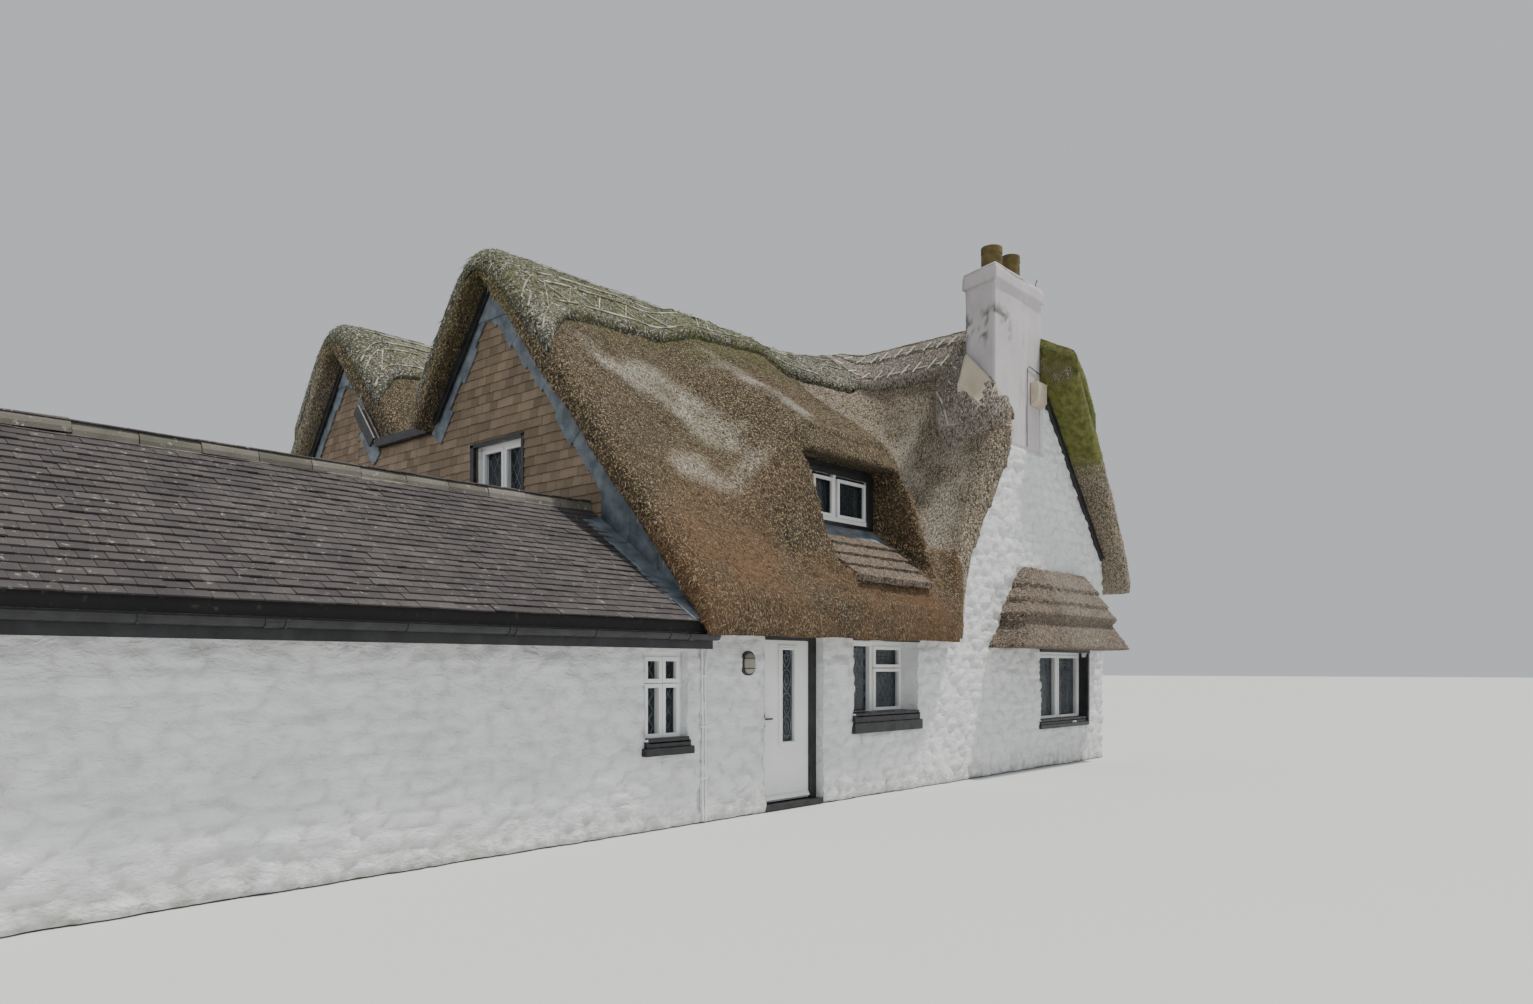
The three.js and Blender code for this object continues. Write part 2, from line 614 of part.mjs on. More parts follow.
function dormer() {
  const { x0, x1, y, sill, head, surround, frame, depth, mullions, barInset } = DORMER;
  const left = x0 + GAP;
  const right = x1 - GAP;
  const low = sill + GAP;
  const high = head - GAP;
  const ring = (from, width) => {
    const to = from + width;
    const outer = box(left + from, right - from, y, y + depth, low + from, high - from);
    return outer.subtract(
      box(left + to, right - to, y - PAST, y + depth + PAST, low + to, high - to),
    );
  };
  add("dormer_surround", ring(0, surround), MATERIALS.blackPaint);
  const inner = surround + GAP;
  let lights = ring(inner, frame);
  for (const share of mullions) {
    const x = lerp(left + inner, right - inner, share);
    const depths = [y + barInset, y + depth - barInset];
    lights = lights.add(
      box(x - frame / 2, x + frame / 2, ...depths, low + inner, high - inner),
    );
  }
  add("dormer_frame", lights, MATERIALS.whitePaint);
  const glassY = y + depth + GAP;
  const { thick, edge } = PANE;
  add("dormer_glass", box(
    left + edge, right - edge, glassY, glassY + thick, low + edge, high - edge,
  ), MATERIALS.glass);
}

// A hinge plate on the inner face beside the hinge axis, with its knuckle round the axis
function hingeHalf(side, z0, z1) {
  const { x, y, radius, plate, thick } = HINGE;
  const knuckle = toSolid(upright(radius, 16, z1 - z0).translate(x, y, (z0 + z1) / 2));
  const leafX = side < 0 ? [x - plate, x] : [x, x + plate];
  return knuckle.add(box(...leafX, DOOR.y + DOOR.thick, DOOR.y + DOOR.thick + thick, z0, z1));
}

// Front door in its black frame, hinged on the right and opening inwards
function door() {
  const { x0, x1, z0, z1, y, thick, pane } = DOOR;
  const { clear, frameOut, frameZ, stepOut, top } = DOORWAY;
  const left = DOORWAY.x0 + GAP;
  const right = DOORWAY.x1 - GAP;
  const outer = box(left, right, y - frameOut, y + thick, frameZ, top - GAP);
  const inner = box(x0 - clear, x1 + clear, y - PAST, y + PAST, -PAST, z1 + clear);
  const step = box(left, right, -stepOut, WALL - GAP, 0, FLOOR_TOP);
  let frame = outer.subtract(inner).add(step);
  const light = DOOR_LIGHT;
  const hole = box(light.x0, light.x1, y - PAST, y + PAST, light.z0, light.z1);
  let leaf = box(x0, x1, y, y + thick, z0, z1).subtract(hole);
  for (const z of HINGE.heights) {
    frame = frame.add(hingeHalf(1, z - HINGE.height / 2, z - GAP / 2));
    leaf = leaf.add(hingeHalf(-1, z + GAP / 2, z + HINGE.height / 2));
  }
  add("door_frame", frame, MATERIALS.blackPaint);
  add("front_door", leaf, MATERIALS.whitePaint);
  const paneY = y + (thick - pane) / 2;
  add("door_glass", box(
    light.x0 + GAP, light.x1 - GAP, paneY, paneY + pane, light.z0 + GAP, light.z1 - GAP,
  ), MATERIALS.glass);
}

function doorHandle() {
  const { x, z, width, thick, low, high, leverHalf, leverLength, leverOut, leverThick } = HANDLE;
  const face = DOOR.y - GAP;
  const out = face - leverOut;
  const levels = [z - leverHalf, z + leverHalf];
  const plate = box(x - width / 2, x + width / 2, face - thick, face, z - low, z + high);
  const neck = box(x - leverHalf, x + leverHalf, out, face, ...levels);
  const lever = box(x - leverHalf, x + leverLength, out, out + leverThick, ...levels);
  add("door_handle", plate.add(neck).add(lever), MATERIALS.iron);
}

// A casement window set in a front wall: frame, one mullion, a sill and a pane
function frontCasement(name, hole) {
  const { x0, x1, z0, z1, y, sillOut } = hole;
  const { edge, depth, sillRise, sillLap } = FRAME;
  const outer = box(x0 + GAP, x1 - GAP, y, y + depth, z0 + GAP, z1 - GAP);
  const inner = box(x0 + edge, x1 - edge, y - PAST, y + PAST, z0 + edge, z1 - edge);
  const x = (x0 + x1) / 2;
  const mullion = box(
    x - edge / 2, x + edge / 2, y, y + depth, z0 + edge / 2, z1 - edge / 2,
  );
  const ledge = box(x0 + GAP, x1 - GAP, -sillOut, y + sillLap, z0 + GAP, z0 + sillRise);
  const frame = outer.subtract(inner).add(mullion).add(ledge);
  add(`${name}_frame`, frame, MATERIALS.whitePaint);
  const paneY = y + depth + GAP;
  const pane = PANE.edge;
  add(`${name}_glass`, box(
    x0 + pane, x1 - pane, paneY, paneY + PANE.thick, z0 + pane, z1 - pane,
  ), MATERIALS.glass);
}

function gableWindow() {
  const { y0, y1, z0, z1, x } = GABLE_WINDOW;
  const { edge, depth } = FRAME;
  const outer = box(x, x + depth, y0 + GAP, y1 - GAP, z0 + GAP, z1 - GAP);
  const inner = box(x - PAST, x + PAST, y0 + edge, y1 - edge, z0 + edge, z1 - edge);
  const middle = (y0 + y1) / 2;
  const mullion = box(
    x, x + depth, middle - edge / 2, middle + edge / 2, z0 + edge / 2, z1 - edge / 2,
  );
  add("gable_window_frame", outer.subtract(inner).add(mullion), MATERIALS.whitePaint);
  const paneX = x + depth + GAP;
  const pane = PANE.edge;
  add("gable_window_glass", box(
    paneX, paneX + PANE.thick, y0 + pane, y1 - pane, z0 + pane, z1 - pane,
  ), MATERIALS.glass);
}

// One sheet of glass stands behind each row of plain windows
function plainGlazing() {
  const reach = PLAIN_WINDOW.width / 2 + GLAZING_LAP;
  const levels = [PLAIN_WINDOW.z0 - GLAZING_LAP, PLAIN_WINDOW.z1 + GLAZING_LAP];
  const span = (centres) => [centres[0] - reach, centres[centres.length - 1] + reach];
  const backY = HOUSE_BACK - WALL - GAP;
  const rear = box(...span(REAR_WINDOWS), backY - PANE.thick, backY, ...levels);
  add("rear_glazing", rear, MATERIALS.glass);
  const rightX = HOUSE_RIGHT - WALL - GAP;
  const right = box(rightX - PANE.thick, rightX, ...span(RIGHT_WINDOWS), ...levels);
  add("right_glazing", right, MATERIALS.glass);
}

// Tile hanging on the left gables
function gableCladding() {
  const { thick, bottom, corner } = CLADDING;
  const face = (x, y0, y1) => (
    box(x - GAP - thick, x - GAP, y0, y1, bottom, LIMIT.up).intersect(wallSpace)
  );
  const { y0, y1, z0, z1 } = GABLE_WINDOW;
  const hole = box(-PAST, PAST, y0 - GAP, y1 + GAP, z0 - GAP, z1 + GAP);
  const wingCut = prismX(wingSection(WING.tiles + GAP), LIMIT.left, PAST);
  const main = face(0, corner, MAIN_BACK).subtract(hole).subtract(wingCut);
  add("gable_tiles", main, MATERIALS.tile);
  add("rear_gable_tiles", face(REAR_SETBACK, MAIN_BACK + GAP, HOUSE_BACK - corner), MATERIALS.tile);
}

// The lead valley between the gabled ranges and the gutter across its end
function valley() {
  const y0 = VALLEY.y0 + GAP;
  const y1 = VALLEY.y1 - GAP;
  const top = VALLEY.top - GAP;
  const lead = box(-CLADDING.thick, VALLEY.right - GAP, y0, y1, VALLEY.top - VALLEY.lead, top);
  add("valley_roof", lead, MATERIALS.lead);
  const { depth, height, wall: thick } = VALLEY_GUTTER;
  const x1 = -CLADDING.thick - GAP;
  const x0 = x1 - depth;
  const z0 = VALLEY.top - height;
  const trough = box(
    x0 + thick, x1 - thick, y0 + thick, y1 - thick, z0 + thick, VALLEY.top + PAST,
  );
  add("valley_gutter", box(x0, x1, y0, y1, z0, top).subtract(trough), MATERIALS.blackPaint);
}

// The wing's roof outline, grown outwards by the given thickness
function wingSection(out) {
  const middle = WING.back / 2;
  const half = middle + WING.eaveOut;
  const slope = (WING.ridgeZ - WING.eaveZ) / half;
  const up = out * Math.hypot(1, slope);
  return [
    [middle - half, 0], [middle + half, 0], [middle + half, WING.eaveZ + up],
    [middle, WING.ridgeZ + up], [middle - half, WING.eaveZ + up],
  ];
}

const WING_RIGHT = -CLADDING.thick - 2 * GAP;
const WING_LENGTH = WING_RIGHT - WING.left + WING.verge;
const WING_MIDDLE_X = (WING_RIGHT + WING.left - WING.verge) / 2;

function wingWalls() {
  const { left, back, ridgeZ, wall: thick } = WING;
  const right = -GAP;
  const inside = prismX(wingSection(-GAP), LIMIT.left, PAST);
  const slab = (x0, x1, y0, y1) => box(x0, x1, y0, y1, 0, ridgeZ).intersect(inside);
  const front = slab(left, right, 0, thick).subtract(opening(WING_WINDOW));
  add("wing_front_wall", front, MATERIALS.limewash);
  add("wing_rear_wall", slab(left, right, back - thick, back), MATERIALS.limewash);
  const end = slab(left, left + thick, thick + GAP, back - thick - GAP);
  add("wing_end_wall", end, MATERIALS.limewash);
  const floor = box(left + thick + GAP, right, thick + GAP, back - thick - GAP, 0, FLOOR_TOP);
  add("wing_floor", floor, MATERIALS.floor);
}

function wingRoof() {
  const { back, eaveZ, ridgeZ, tiles } = WING;
  const x0 = WING.left - WING.verge;
  const shell = prismX(wingSection(tiles), x0, WING_RIGHT)
    .subtract(prismX(wingSection(0), LIMIT.left, PAST));
  const middle = back / 2;
  const half = (y0, y1) => shell.intersect(
    box(LIMIT.left, PAST, y0, y1, eaveZ - PAST, LIMIT.up),
  );
  add("wing_roof_front", half(LIMIT.front, middle - GAP / 2), MATERIALS.tile);
  add("wing_roof_back", half(middle + GAP / 2, LIMIT.back), MATERIALS.tile);
  const under = prismX(wingSection(tiles + GAP), LIMIT.left, PAST);
  const crown = wingBar(RIDGE_TILE.radius, WING_LENGTH, middle, ridgeZ + tiles + RIDGE_TILE.seat);
  add("wing_ridge_tiles", crown.subtract(under), MATERIALS.tile);
}

// A round bar along the wing
function wingBar(radius, length, y, z) {
  const bar = new THREE.CylinderGeometry(radius, radius, length, 16).rotateZ(Math.PI / 2);
  return toSolid(bar.translate(WING_MIDDLE_X, y, z));
}

// The fascia board with its half round gutter
function wingGutter() {
  const { eaveZ, eaveOut } = WING;
  const x0 = WING.left - WING.verge;
  const fascia = box(
    x0, WING_RIGHT, -eaveOut, WING_FASCIA.thick - eaveOut, eaveZ - WING_FASCIA.height, eaveZ - GAP,
  );
  add("wing_fascia", fascia, MATERIALS.blackPaint);
  const { radius, wall: thick, drop, stop } = WING_GUTTER;
  const y = -eaveOut - GAP - radius;
  const z = eaveZ - drop;
  const above = box(LIMIT.left, PAST, LIMIT.front, PAST, z, LIMIT.up);
  const trough = wingBar(radius, WING_LENGTH, y, z)
    .subtract(wingBar(radius - thick, WING_LENGTH - 2 * stop, y, z))
    .subtract(above);
  add("wing_gutter", trough, MATERIALS.blackPaint);
}

function wallLamp() {
  const { x, z, halfX, halfZ, out } = LAMP;
  const dome = new THREE.SphereGeometry(1, 16, 10).scale(halfX, out, halfZ).translate(x, -GAP, z);
  const front = box(x - PAST, x + PAST, -PAST, -GAP, z - 2 * PAST, z + 2 * PAST);
  add("wall_lamp", toSolid(dome).intersect(front), MATERIALS.whitePaint);
}

frontWalls();
leftWall();
hiddenWalls();
floors();
thatch();
ridges();
chimney();
canopy();
dormer();
door();
doorHandle();
frontCasement("front_window", FRONT_WINDOW);
frontCasement("canopy_window", CANOPY_WINDOW);
frontCasement("wing_window", WING_WINDOW);
gableWindow();
plainGlazing();
gableCladding();
valley();
wingWalls();
wingRoof();
wingGutter();
wallLamp();

// The origin is the middle of the plan on the ground
const extent = new THREE.Box3().setFromObject(house);
const centre = extent.getCenter(new THREE.Vector3());
house.position.set(-centre.x, -centre.y, 0);
house.updateMatrixWorld(true);

export default house;
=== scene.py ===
"""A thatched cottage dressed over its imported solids. Lengths are metres.

House coordinates have x = 0 and y = 0 at the front left corner of the main range, +X along
the front, +Y to the back and +Z up. HOME moves them into the frame.
"""
import itertools
import math

import bpy
import numpy as np
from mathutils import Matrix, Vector


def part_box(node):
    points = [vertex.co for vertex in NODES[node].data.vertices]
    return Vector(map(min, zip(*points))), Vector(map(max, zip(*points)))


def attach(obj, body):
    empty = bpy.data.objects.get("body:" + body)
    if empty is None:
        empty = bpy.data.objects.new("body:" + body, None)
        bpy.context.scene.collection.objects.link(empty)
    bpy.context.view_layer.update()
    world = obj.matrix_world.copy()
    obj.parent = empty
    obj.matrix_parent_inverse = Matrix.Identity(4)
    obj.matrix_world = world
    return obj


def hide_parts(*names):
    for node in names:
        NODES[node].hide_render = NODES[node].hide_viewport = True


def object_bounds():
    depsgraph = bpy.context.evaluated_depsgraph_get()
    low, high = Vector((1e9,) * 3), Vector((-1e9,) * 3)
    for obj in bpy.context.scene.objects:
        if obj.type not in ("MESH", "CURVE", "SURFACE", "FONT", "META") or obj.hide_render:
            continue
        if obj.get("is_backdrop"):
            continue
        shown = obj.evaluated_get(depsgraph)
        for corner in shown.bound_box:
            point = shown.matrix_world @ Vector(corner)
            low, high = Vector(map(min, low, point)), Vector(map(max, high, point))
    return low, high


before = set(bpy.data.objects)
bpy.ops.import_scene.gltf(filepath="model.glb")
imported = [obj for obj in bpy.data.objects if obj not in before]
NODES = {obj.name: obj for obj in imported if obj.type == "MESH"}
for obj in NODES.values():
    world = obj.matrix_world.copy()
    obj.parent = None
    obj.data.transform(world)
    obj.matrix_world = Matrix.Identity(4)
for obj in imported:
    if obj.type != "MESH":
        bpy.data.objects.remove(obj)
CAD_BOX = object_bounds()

LOW_CORNER, HIGH_CORNER = (np.array(corner) for corner in CAD_BOX)
HOME = np.array([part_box("front_wall_left")[0][0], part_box("front_wall_left")[0][1], 0.0])


def node_box(name):
    """Lowest and highest corner of a node in house coordinates."""
    low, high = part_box(name)
    return np.array(low) - HOME, np.array(high) - HOME


# Roof, as in the part's source
MAIN = {"ridge": 3.45, "z": 6.67, "pitch": 1.22, "under_z": 6.45, "under_pitch": 1.184}
REAR = {"ridge": 7.85, "z": 6.80, "pitch": 1.22, "under_z": 6.50, "under_pitch": 1.184}
CROSS = {"ridge": 7.05, "z": 6.92, "left": 2.1, "right": 1.08, "under_z": 6.85}
RIDGE_ROUND = 0.32
VALLEY_BLEND = 0.52
JUNCTION_RISE = 0.22
SEAM_X = 4.9
SEAM_Y = 5.65
SEAM_LAP = 0.09
FRONT_EAVE = -0.42
BACK_EAVE = 11.3
RIGHT_EAVE = 10.8
REAR_SETBACK = 0.35
GABLE_LEFT = 5.3
HOUSE_RIGHT = 10.15
HOUSE_BACK = 10.85
VERGE = {"foot": 0.26, "peak": 0.43, "half": 3.6, "roll": 0.3, "roll_end": 1.0}
FRONT_VERGE = {"foot": 0.35, "peak": 0.68, "half": 3.7}
GABLE_CORNER = {"turn_from": 4.45, "tuck": 0.13, "top": 0.32}
STACK = {"x0": 6.25, "x1": 7.77, "back": 0.6}
EAVE_ROLL = 0.11
SHOULDER = {"x0": 5.98, "x1": 6.262, "y0": -0.03, "y1": 0.47, "foot": (5.36, 5.86), "head": (5.80, 6.36)}
SHOULDER_FOOT = {"x": 6.20, "z": 5.42, "slope": 0.5}
HOOD = {
    "x": 3.4, "flat_left": 0.9, "flat_right": 0.6, "lip_y": 0.4, "lip_z": 4.56, "rise": 0.72, "front": 3.1,
    "side": 1.35, "round": 0.42, "back_y": 2.9, "back_fall": 3.0,
}
SWELL = {"x": (7.3, 7.75, 8.25, 9.3, 10.5), "y": (0.3, 1.5), "rise": 0.19, "crest": 0.32, "front": 0.62}
CHEEK = {"x": 4.46, "pitch": 8.0, "round": 0.12, "from": 0.9, "length": 1.2}


def clamp(value, low=0.0, high=1.0):
    return np.clip(value, low, high)


def lerp(a, b, share):
    return a + (b - a) * share


def ease(value):
    value = clamp(value)
    return value * value * (3 - 2 * value)


def fall(run, rounding):
    return np.hypot(run, rounding) - rounding


def soft_max(a, b, blend):
    near = np.maximum(0, blend - np.abs(a - b))
    return np.maximum(a, b) + near * near / (4 * blend)


def past_cross(x):
    return 4 * np.maximum(0, x - CROSS["ridge"])


def hood_top(x, y):
    back = HOOD["back_fall"] * np.maximum(0, y - HOOD["back_y"])
    run = y - HOOD["lip_y"]
    along = np.where(run > 0, HOOD["rise"] * run - back, HOOD["front"] * run)
    flat = np.where(x > HOOD["x"], HOOD["flat_right"], HOOD["flat_left"])
    side = fall(np.maximum(0, np.abs(x - HOOD["x"]) - flat), HOOD["round"])
    near = 1 - ease((y - CHEEK["from"]) / CHEEK["length"])
    cheek = fall(np.maximum(0, x - CHEEK["x"]), CHEEK["round"]) * near
    return HOOD["lip_z"] + along - HOOD["side"] * side - CHEEK["pitch"] * cheek


def range_top(x, y, section):
    return section["z"] - section["pitch"] * fall(y - section["ridge"], RIDGE_ROUND) - past_cross(x)


def roof_top(x, y):
    rise = JUNCTION_RISE * ease((x - SEAM_X) / (CROSS["ridge"] - SEAM_X))
    pitch = np.where(x < CROSS["ridge"], CROSS["left"], CROSS["right"])
    cross = CROSS["z"] - pitch * fall(x - CROSS["ridge"], RIDGE_ROUND)
    front = soft_max(range_top(x, y, MAIN) + rise, hood_top(x, y), VALLEY_BLEND)
    ranges = soft_max(front, range_top(x, y, REAR), VALLEY_BLEND / 4)
    return soft_max(ranges, cross, VALLEY_BLEND)


def verge_reach(verge, offset):
    return lerp(verge["foot"], verge["peak"], clamp(1 - np.abs(offset) / verge["half"]))


def left_end(y):
    main = -verge_reach(VERGE, y - MAIN["ridge"])
    rear = REAR_SETBACK - verge_reach(VERGE, y - REAR["ridge"])
    return np.where(y < SEAM_Y, main, rear)


def front_end(x):
    gable = -verge_reach(FRONT_VERGE, x - CROSS["ridge"])
    turn = ease((x - GABLE_CORNER["turn_from"]) / (GABLE_LEFT - GABLE_CORNER["turn_from"]))
    eave = FRONT_EAVE + (-GABLE_CORNER["tuck"] - FRONT_EAVE) * turn
    climb = ease((x - GABLE_LEFT) / (STACK["x0"] - GABLE_LEFT))
    low = eave - (GABLE_CORNER["top"] - GABLE_CORNER["tuck"]) * climb
    return np.where(x > (STACK["x0"] + STACK["x1"]) / 2, gable, low)


def rolled(distance, radius):
    inside = clamp(distance, 0, radius)
    return radius - np.sqrt(np.maximum(0, radius * radius - (radius - inside) ** 2))


def verge_swell(x, y):
    """Extra height of the reed at the front verge, right of the stack."""
    near = 1 - ease((y - SWELL["y"][0]) / (SWELL["y"][1] - SWELL["y"][0]))
    x0, x1, x2, x3, x4 = SWELL["x"]
    away = ease((x - x1) / (x2 - x1))
    lower = 1 - ease((x - x3) / (x4 - x3))
    top = SWELL["crest"] * ease((x - x0) / (x1 - x0)) * (1 - away) * clamp(1 + y / SWELL["front"])
    return near * (SWELL["rise"] * away * lower + top)


def thatch_top(x, y):
    verge = np.where(x < VERGE["roll_end"], rolled(x - left_end(y), VERGE["roll"]), 0)
    edges = verge + rolled(y - front_end(x), EAVE_ROLL) + rolled(BACK_EAVE - y, EAVE_ROLL)
    return roof_top(x, y) + verge_swell(x, y) - edges - rolled(RIGHT_EAVE - x, EAVE_ROLL)


def roof_point(x, y, lift=0.0):
    return xyz(x, y, thatch_top(x, y) + lift)


def roof_normal(x, y):
    step = 0.03
    dx = (roof_top(x + step, y) - roof_top(x - step, y)) / (2 * step)
    dy = (roof_top(x, y + step) - roof_top(x, y - step)) / (2 * step)
    return unit(xyz(-dx, -dy, 1.0))


def shoulder_top(x, y):
    """Height of the cement fillet beside the stack."""
    u = clamp((x - SHOULDER["x0"]) / (SHOULDER["x1"] - SHOULDER["x0"]))
    v = clamp((y - SHOULDER["y0"]) / (SHOULDER["y1"] - SHOULDER["y0"]))
    foot, head = lerp(*SHOULDER["foot"], v), lerp(*SHOULDER["head"], v)
    return lerp(foot, head, np.sin(u * math.pi / 2) ** 1.4)


# Arrays
UP = np.array([0.0, 0.0, 1.0])
BOX_FACES = [[0, 1, 2, 3], [7, 6, 5, 4], [0, 4, 5, 1], [1, 5, 6, 2], [2, 6, 7, 3], [3, 7, 4, 0]]
HASH_STEPS = np.array([374761393, 668265263, 1440662683])
HASH_SEED = 1274126177
HASH_BITS = 0xFFFFFFFF


def unit(vectors):
    length = np.linalg.norm(vectors, axis=-1, keepdims=True)
    return vectors / np.maximum(length, 1e-9)


def xyz(x, y, z):
    """Points from their coordinates, any of which may be one number."""
    return np.stack(np.broadcast_arrays(x, y, z), -1)


def unit_grid(rows, columns):
    """u along the columns and v along the rows, both from 0 to 1."""
    return np.meshgrid(np.linspace(0, 1, columns), np.linspace(0, 1, rows))


def noise(points, scale=1.0, seed=0):
    """Smooth noise from -1 to 1 at points, scale cells to the metre."""
    points = np.asarray(points, float) * scale
    cell = np.floor(points).astype(np.int64)
    part = points - cell
    part = part * part * (3 - 2 * part)
    total = np.zeros(points.shape[:-1])
    for corner in itertools.product((0, 1), repeat=3):
        mixed = ((cell + np.array(corner)) * HASH_STEPS).sum(-1)
        mixed = (mixed + seed * HASH_SEED) & HASH_BITS
        mixed = ((mixed ^ (mixed >> 13)) * HASH_SEED) & HASH_BITS
        mixed = mixed ^ (mixed >> 16)
        weight = np.prod(np.where(corner, part, 1 - part), axis=-1)
        total += weight * (mixed / 2 ** 31 - 1)
    return total


def beams(starts, ends, normals, width, thick):
    """Closed bars between pairs of points. Width lies across the normal and thick along it."""
    starts, ends = np.asarray(starts, float), np.asarray(ends, float)
    normals = np.broadcast_to(np.asarray(normals, float), starts.shape)
    along = unit(ends - starts)
    side = unit(np.cross(along, normals))
    up = np.cross(side, along)
    corners = []
    for point in (starts, ends):
        for across, rise in ((-1, -1), (1, -1), (1, 1), (-1, 1)):
            corners.append(point + side * (width / 2 * across) + up * (thick / 2 * rise))
    faces = np.arange(len(starts))[:, None, None] * 8 + np.array(BOX_FACES)
    return np.stack(corners, 1).reshape(-1, 3), faces.reshape(-1, 4)


def grid_quads(index):
    """Faces between the neighbours of a grid of point numbers."""
    return np.stack([index[:-1, :-1], index[:-1, 1:], index[1:, 1:], index[1:, :-1]], -1)


def ring_faces(rings, around):
    """Faces of a closed solid made of rings of points, one on the other."""
    faces = []
    for r in range(rings - 1):
        for s in range(around):
            t = (s + 1) % around
            faces.append([r * around + s, r * around + t, (r + 1) * around + t, (r + 1) * around + s])
    faces.append(list(range(around))[::-1])
    faces.append([(rings - 1) * around + s for s in range(around)])
    return faces


def sheet_slab(top, bottom):
    """A closed slab between two grids of points."""
    rows, columns = top.shape[:2]
    count = rows * columns
    index = np.arange(count).reshape(rows, columns)
    face = grid_quads(index).reshape(-1, 4)
    rim = np.concatenate([index[0], index[1:, -1], index[-1, -2::-1], index[-2:0:-1, 0]])
    after = np.roll(rim, -1)
    sides = np.stack([after, rim, rim + count, after + count], -1)
    verts = np.concatenate([top.reshape(-1, 3), bottom.reshape(-1, 3)])
    return verts, np.concatenate([face, face[:, ::-1] + count, sides])


class Pile:
    """Solids gathered into one mesh, each with a tone from 0 to 1 for looks that read it."""

    def __init__(self):
        self.verts = []
        self.faces = []
        self.tones = []
        self.count = 0

    def add(self, solid, tone=0.0):
        verts, faces = solid
        self.verts.append(np.asarray(verts, float))
        self.tones.append(np.broadcast_to(tone, len(verts)))
        faces = faces.tolist() if isinstance(faces, np.ndarray) else faces
        self.faces.extend([[corner + self.count for corner in face] for face in faces])
        self.count += len(verts)
        return self

    def block(self, low, high):
        low, high = np.array(low, float), np.array(high, float)
        size = high - low
        middle = (low + high) / 2
        start, end = [*middle[:2], low[2]], [*middle[:2], high[2]]
        return self.add(beams([start], [end], (0, 1, 0), size[0], size[1]))

    def piece(self, name, look, toned=False, **settings):
        if toned:
            settings["marks"] = {"tone": np.concatenate(self.tones)}
        return make_piece(name, np.concatenate(self.verts), self.faces, look, **settings)


def make_piece(name, verts, faces, look, body="house", bevel=0.0, smooth=False, replaces=(), marks=None):
    """A piece of the scene. Smooth may be a number of faces, and marks a function of the points."""
    mesh = bpy.data.meshes.new(name)
    faces = faces.tolist() if isinstance(faces, np.ndarray) else faces
    mesh.from_pydata(np.clip(np.asarray(verts) + HOME, LOW_CORNER, HIGH_CORNER).tolist(), [], faces)
    mesh.materials.append(look.material)
    if smooth:
        rounded = len(mesh.polygons) if smooth is True else smooth
        mesh.polygons.foreach_set("use_smooth", np.arange(len(mesh.polygons)) < rounded)
    marks = marks(verts) if callable(marks) else marks or {}
    for key, values in marks.items():
        attribute = mesh.attributes.new(key, "FLOAT", "POINT")
        attribute.data.foreach_set("value", np.asarray(values, np.float32))
    mesh.update()
    obj = bpy.data.objects.new(name, mesh)
    bpy.context.scene.collection.objects.link(obj)
    if bevel:
        edge = obj.modifiers.new("edges", "BEVEL")
        edge.width = bevel
        edge.segments = 1
        edge.limit_method = "ANGLE"
    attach(obj, body)
    if replaces:
        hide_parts(*replaces)
    return obj

# Looks
class Look:
    """A node material for one slot of the record."""

    def __init__(self, name, slot, roughness):
        self.slot = slot
        self.material = bpy.data.materials.new(name)
        self.material.use_nodes = True
        self.tree = self.material.node_tree
        self.shader = self.tree.nodes["Principled BSDF"]
        self.place = self.node("ShaderNodeTexCoord").outputs["Object"]
        self.bumped = None
        self.rough(roughness)

    def feed(self, socket, value):
        if isinstance(value, bpy.types.NodeSocket):
            self.tree.links.new(value, socket)
        else:
            socket.default_value = value

    def paint(self, socket, value):
        self.feed(socket, (*value, 1.0) if isinstance(value, tuple) else value)

    def node(self, kind, inputs=None, **settings):
        made = self.tree.nodes.new(kind)
        for key, value in settings.items():
            setattr(made, key, value)
        for key, value in (inputs or {}).items():
            self.feed(made.inputs[key], value)
        return made

    def noise(self, scale, detail, stretch=None, roughness=0.55, distortion=0.0):
        place = self.place
        if stretch:
            place = self.node("ShaderNodeVectorMath", {0: place, 1: stretch}, operation="MULTIPLY").outputs[0]
        inputs = {"Scale": scale, "Detail": detail, "Roughness": roughness, "Distortion": distortion}
        return self.node("ShaderNodeTexNoise", {**inputs, "Vector": place}).outputs["Fac"]

    def span(self, value, low, high, to_low=0.0, to_high=1.0):
        inputs = {"Value": value, "From Min": low, "From Max": high, "To Min": to_low, "To Max": to_high}
        return self.node("ShaderNodeMapRange", inputs).outputs[0]

    def times(self, a, b):
        return self.node("ShaderNodeMath", {0: a, 1: b}, operation="MULTIPLY").outputs[0]

    def mark(self, name):
        return self.node("ShaderNodeAttribute", attribute_name=name).outputs["Fac"]

    def height(self):
        return self.node("ShaderNodeSeparateXYZ", {0: self.place}).outputs[2]

    def mix(self, share, a, b):
        made = self.node("ShaderNodeMix", {0: share}, data_type="RGBA")
        for socket, colour in zip(MIX_COLOURS, (a, b)):
            self.paint(made.inputs[socket], colour)
        return made.outputs[MIX_RESULT]

    def tint(self, base, value, low, high, colour, most=1.0):
        """Base, turning to a colour as a value goes from low to high."""
        return self.mix(self.span(value, low, high, 0.0, most), base, colour)

    def colour(self, value):
        self.paint(self.shader.inputs["Base Color"], value)

    def rough(self, value):
        self.feed(self.shader.inputs["Roughness"], value)

    def bump(self, height, distance, strength=1.0):
        made = self.node("ShaderNodeBump", {"Strength": strength, "Distance": distance, "Height": height})
        if self.bumped:
            self.feed(made.inputs["Normal"], self.bumped)
        self.bumped = made.outputs[0]
        self.feed(self.shader.inputs["Normal"], self.bumped)


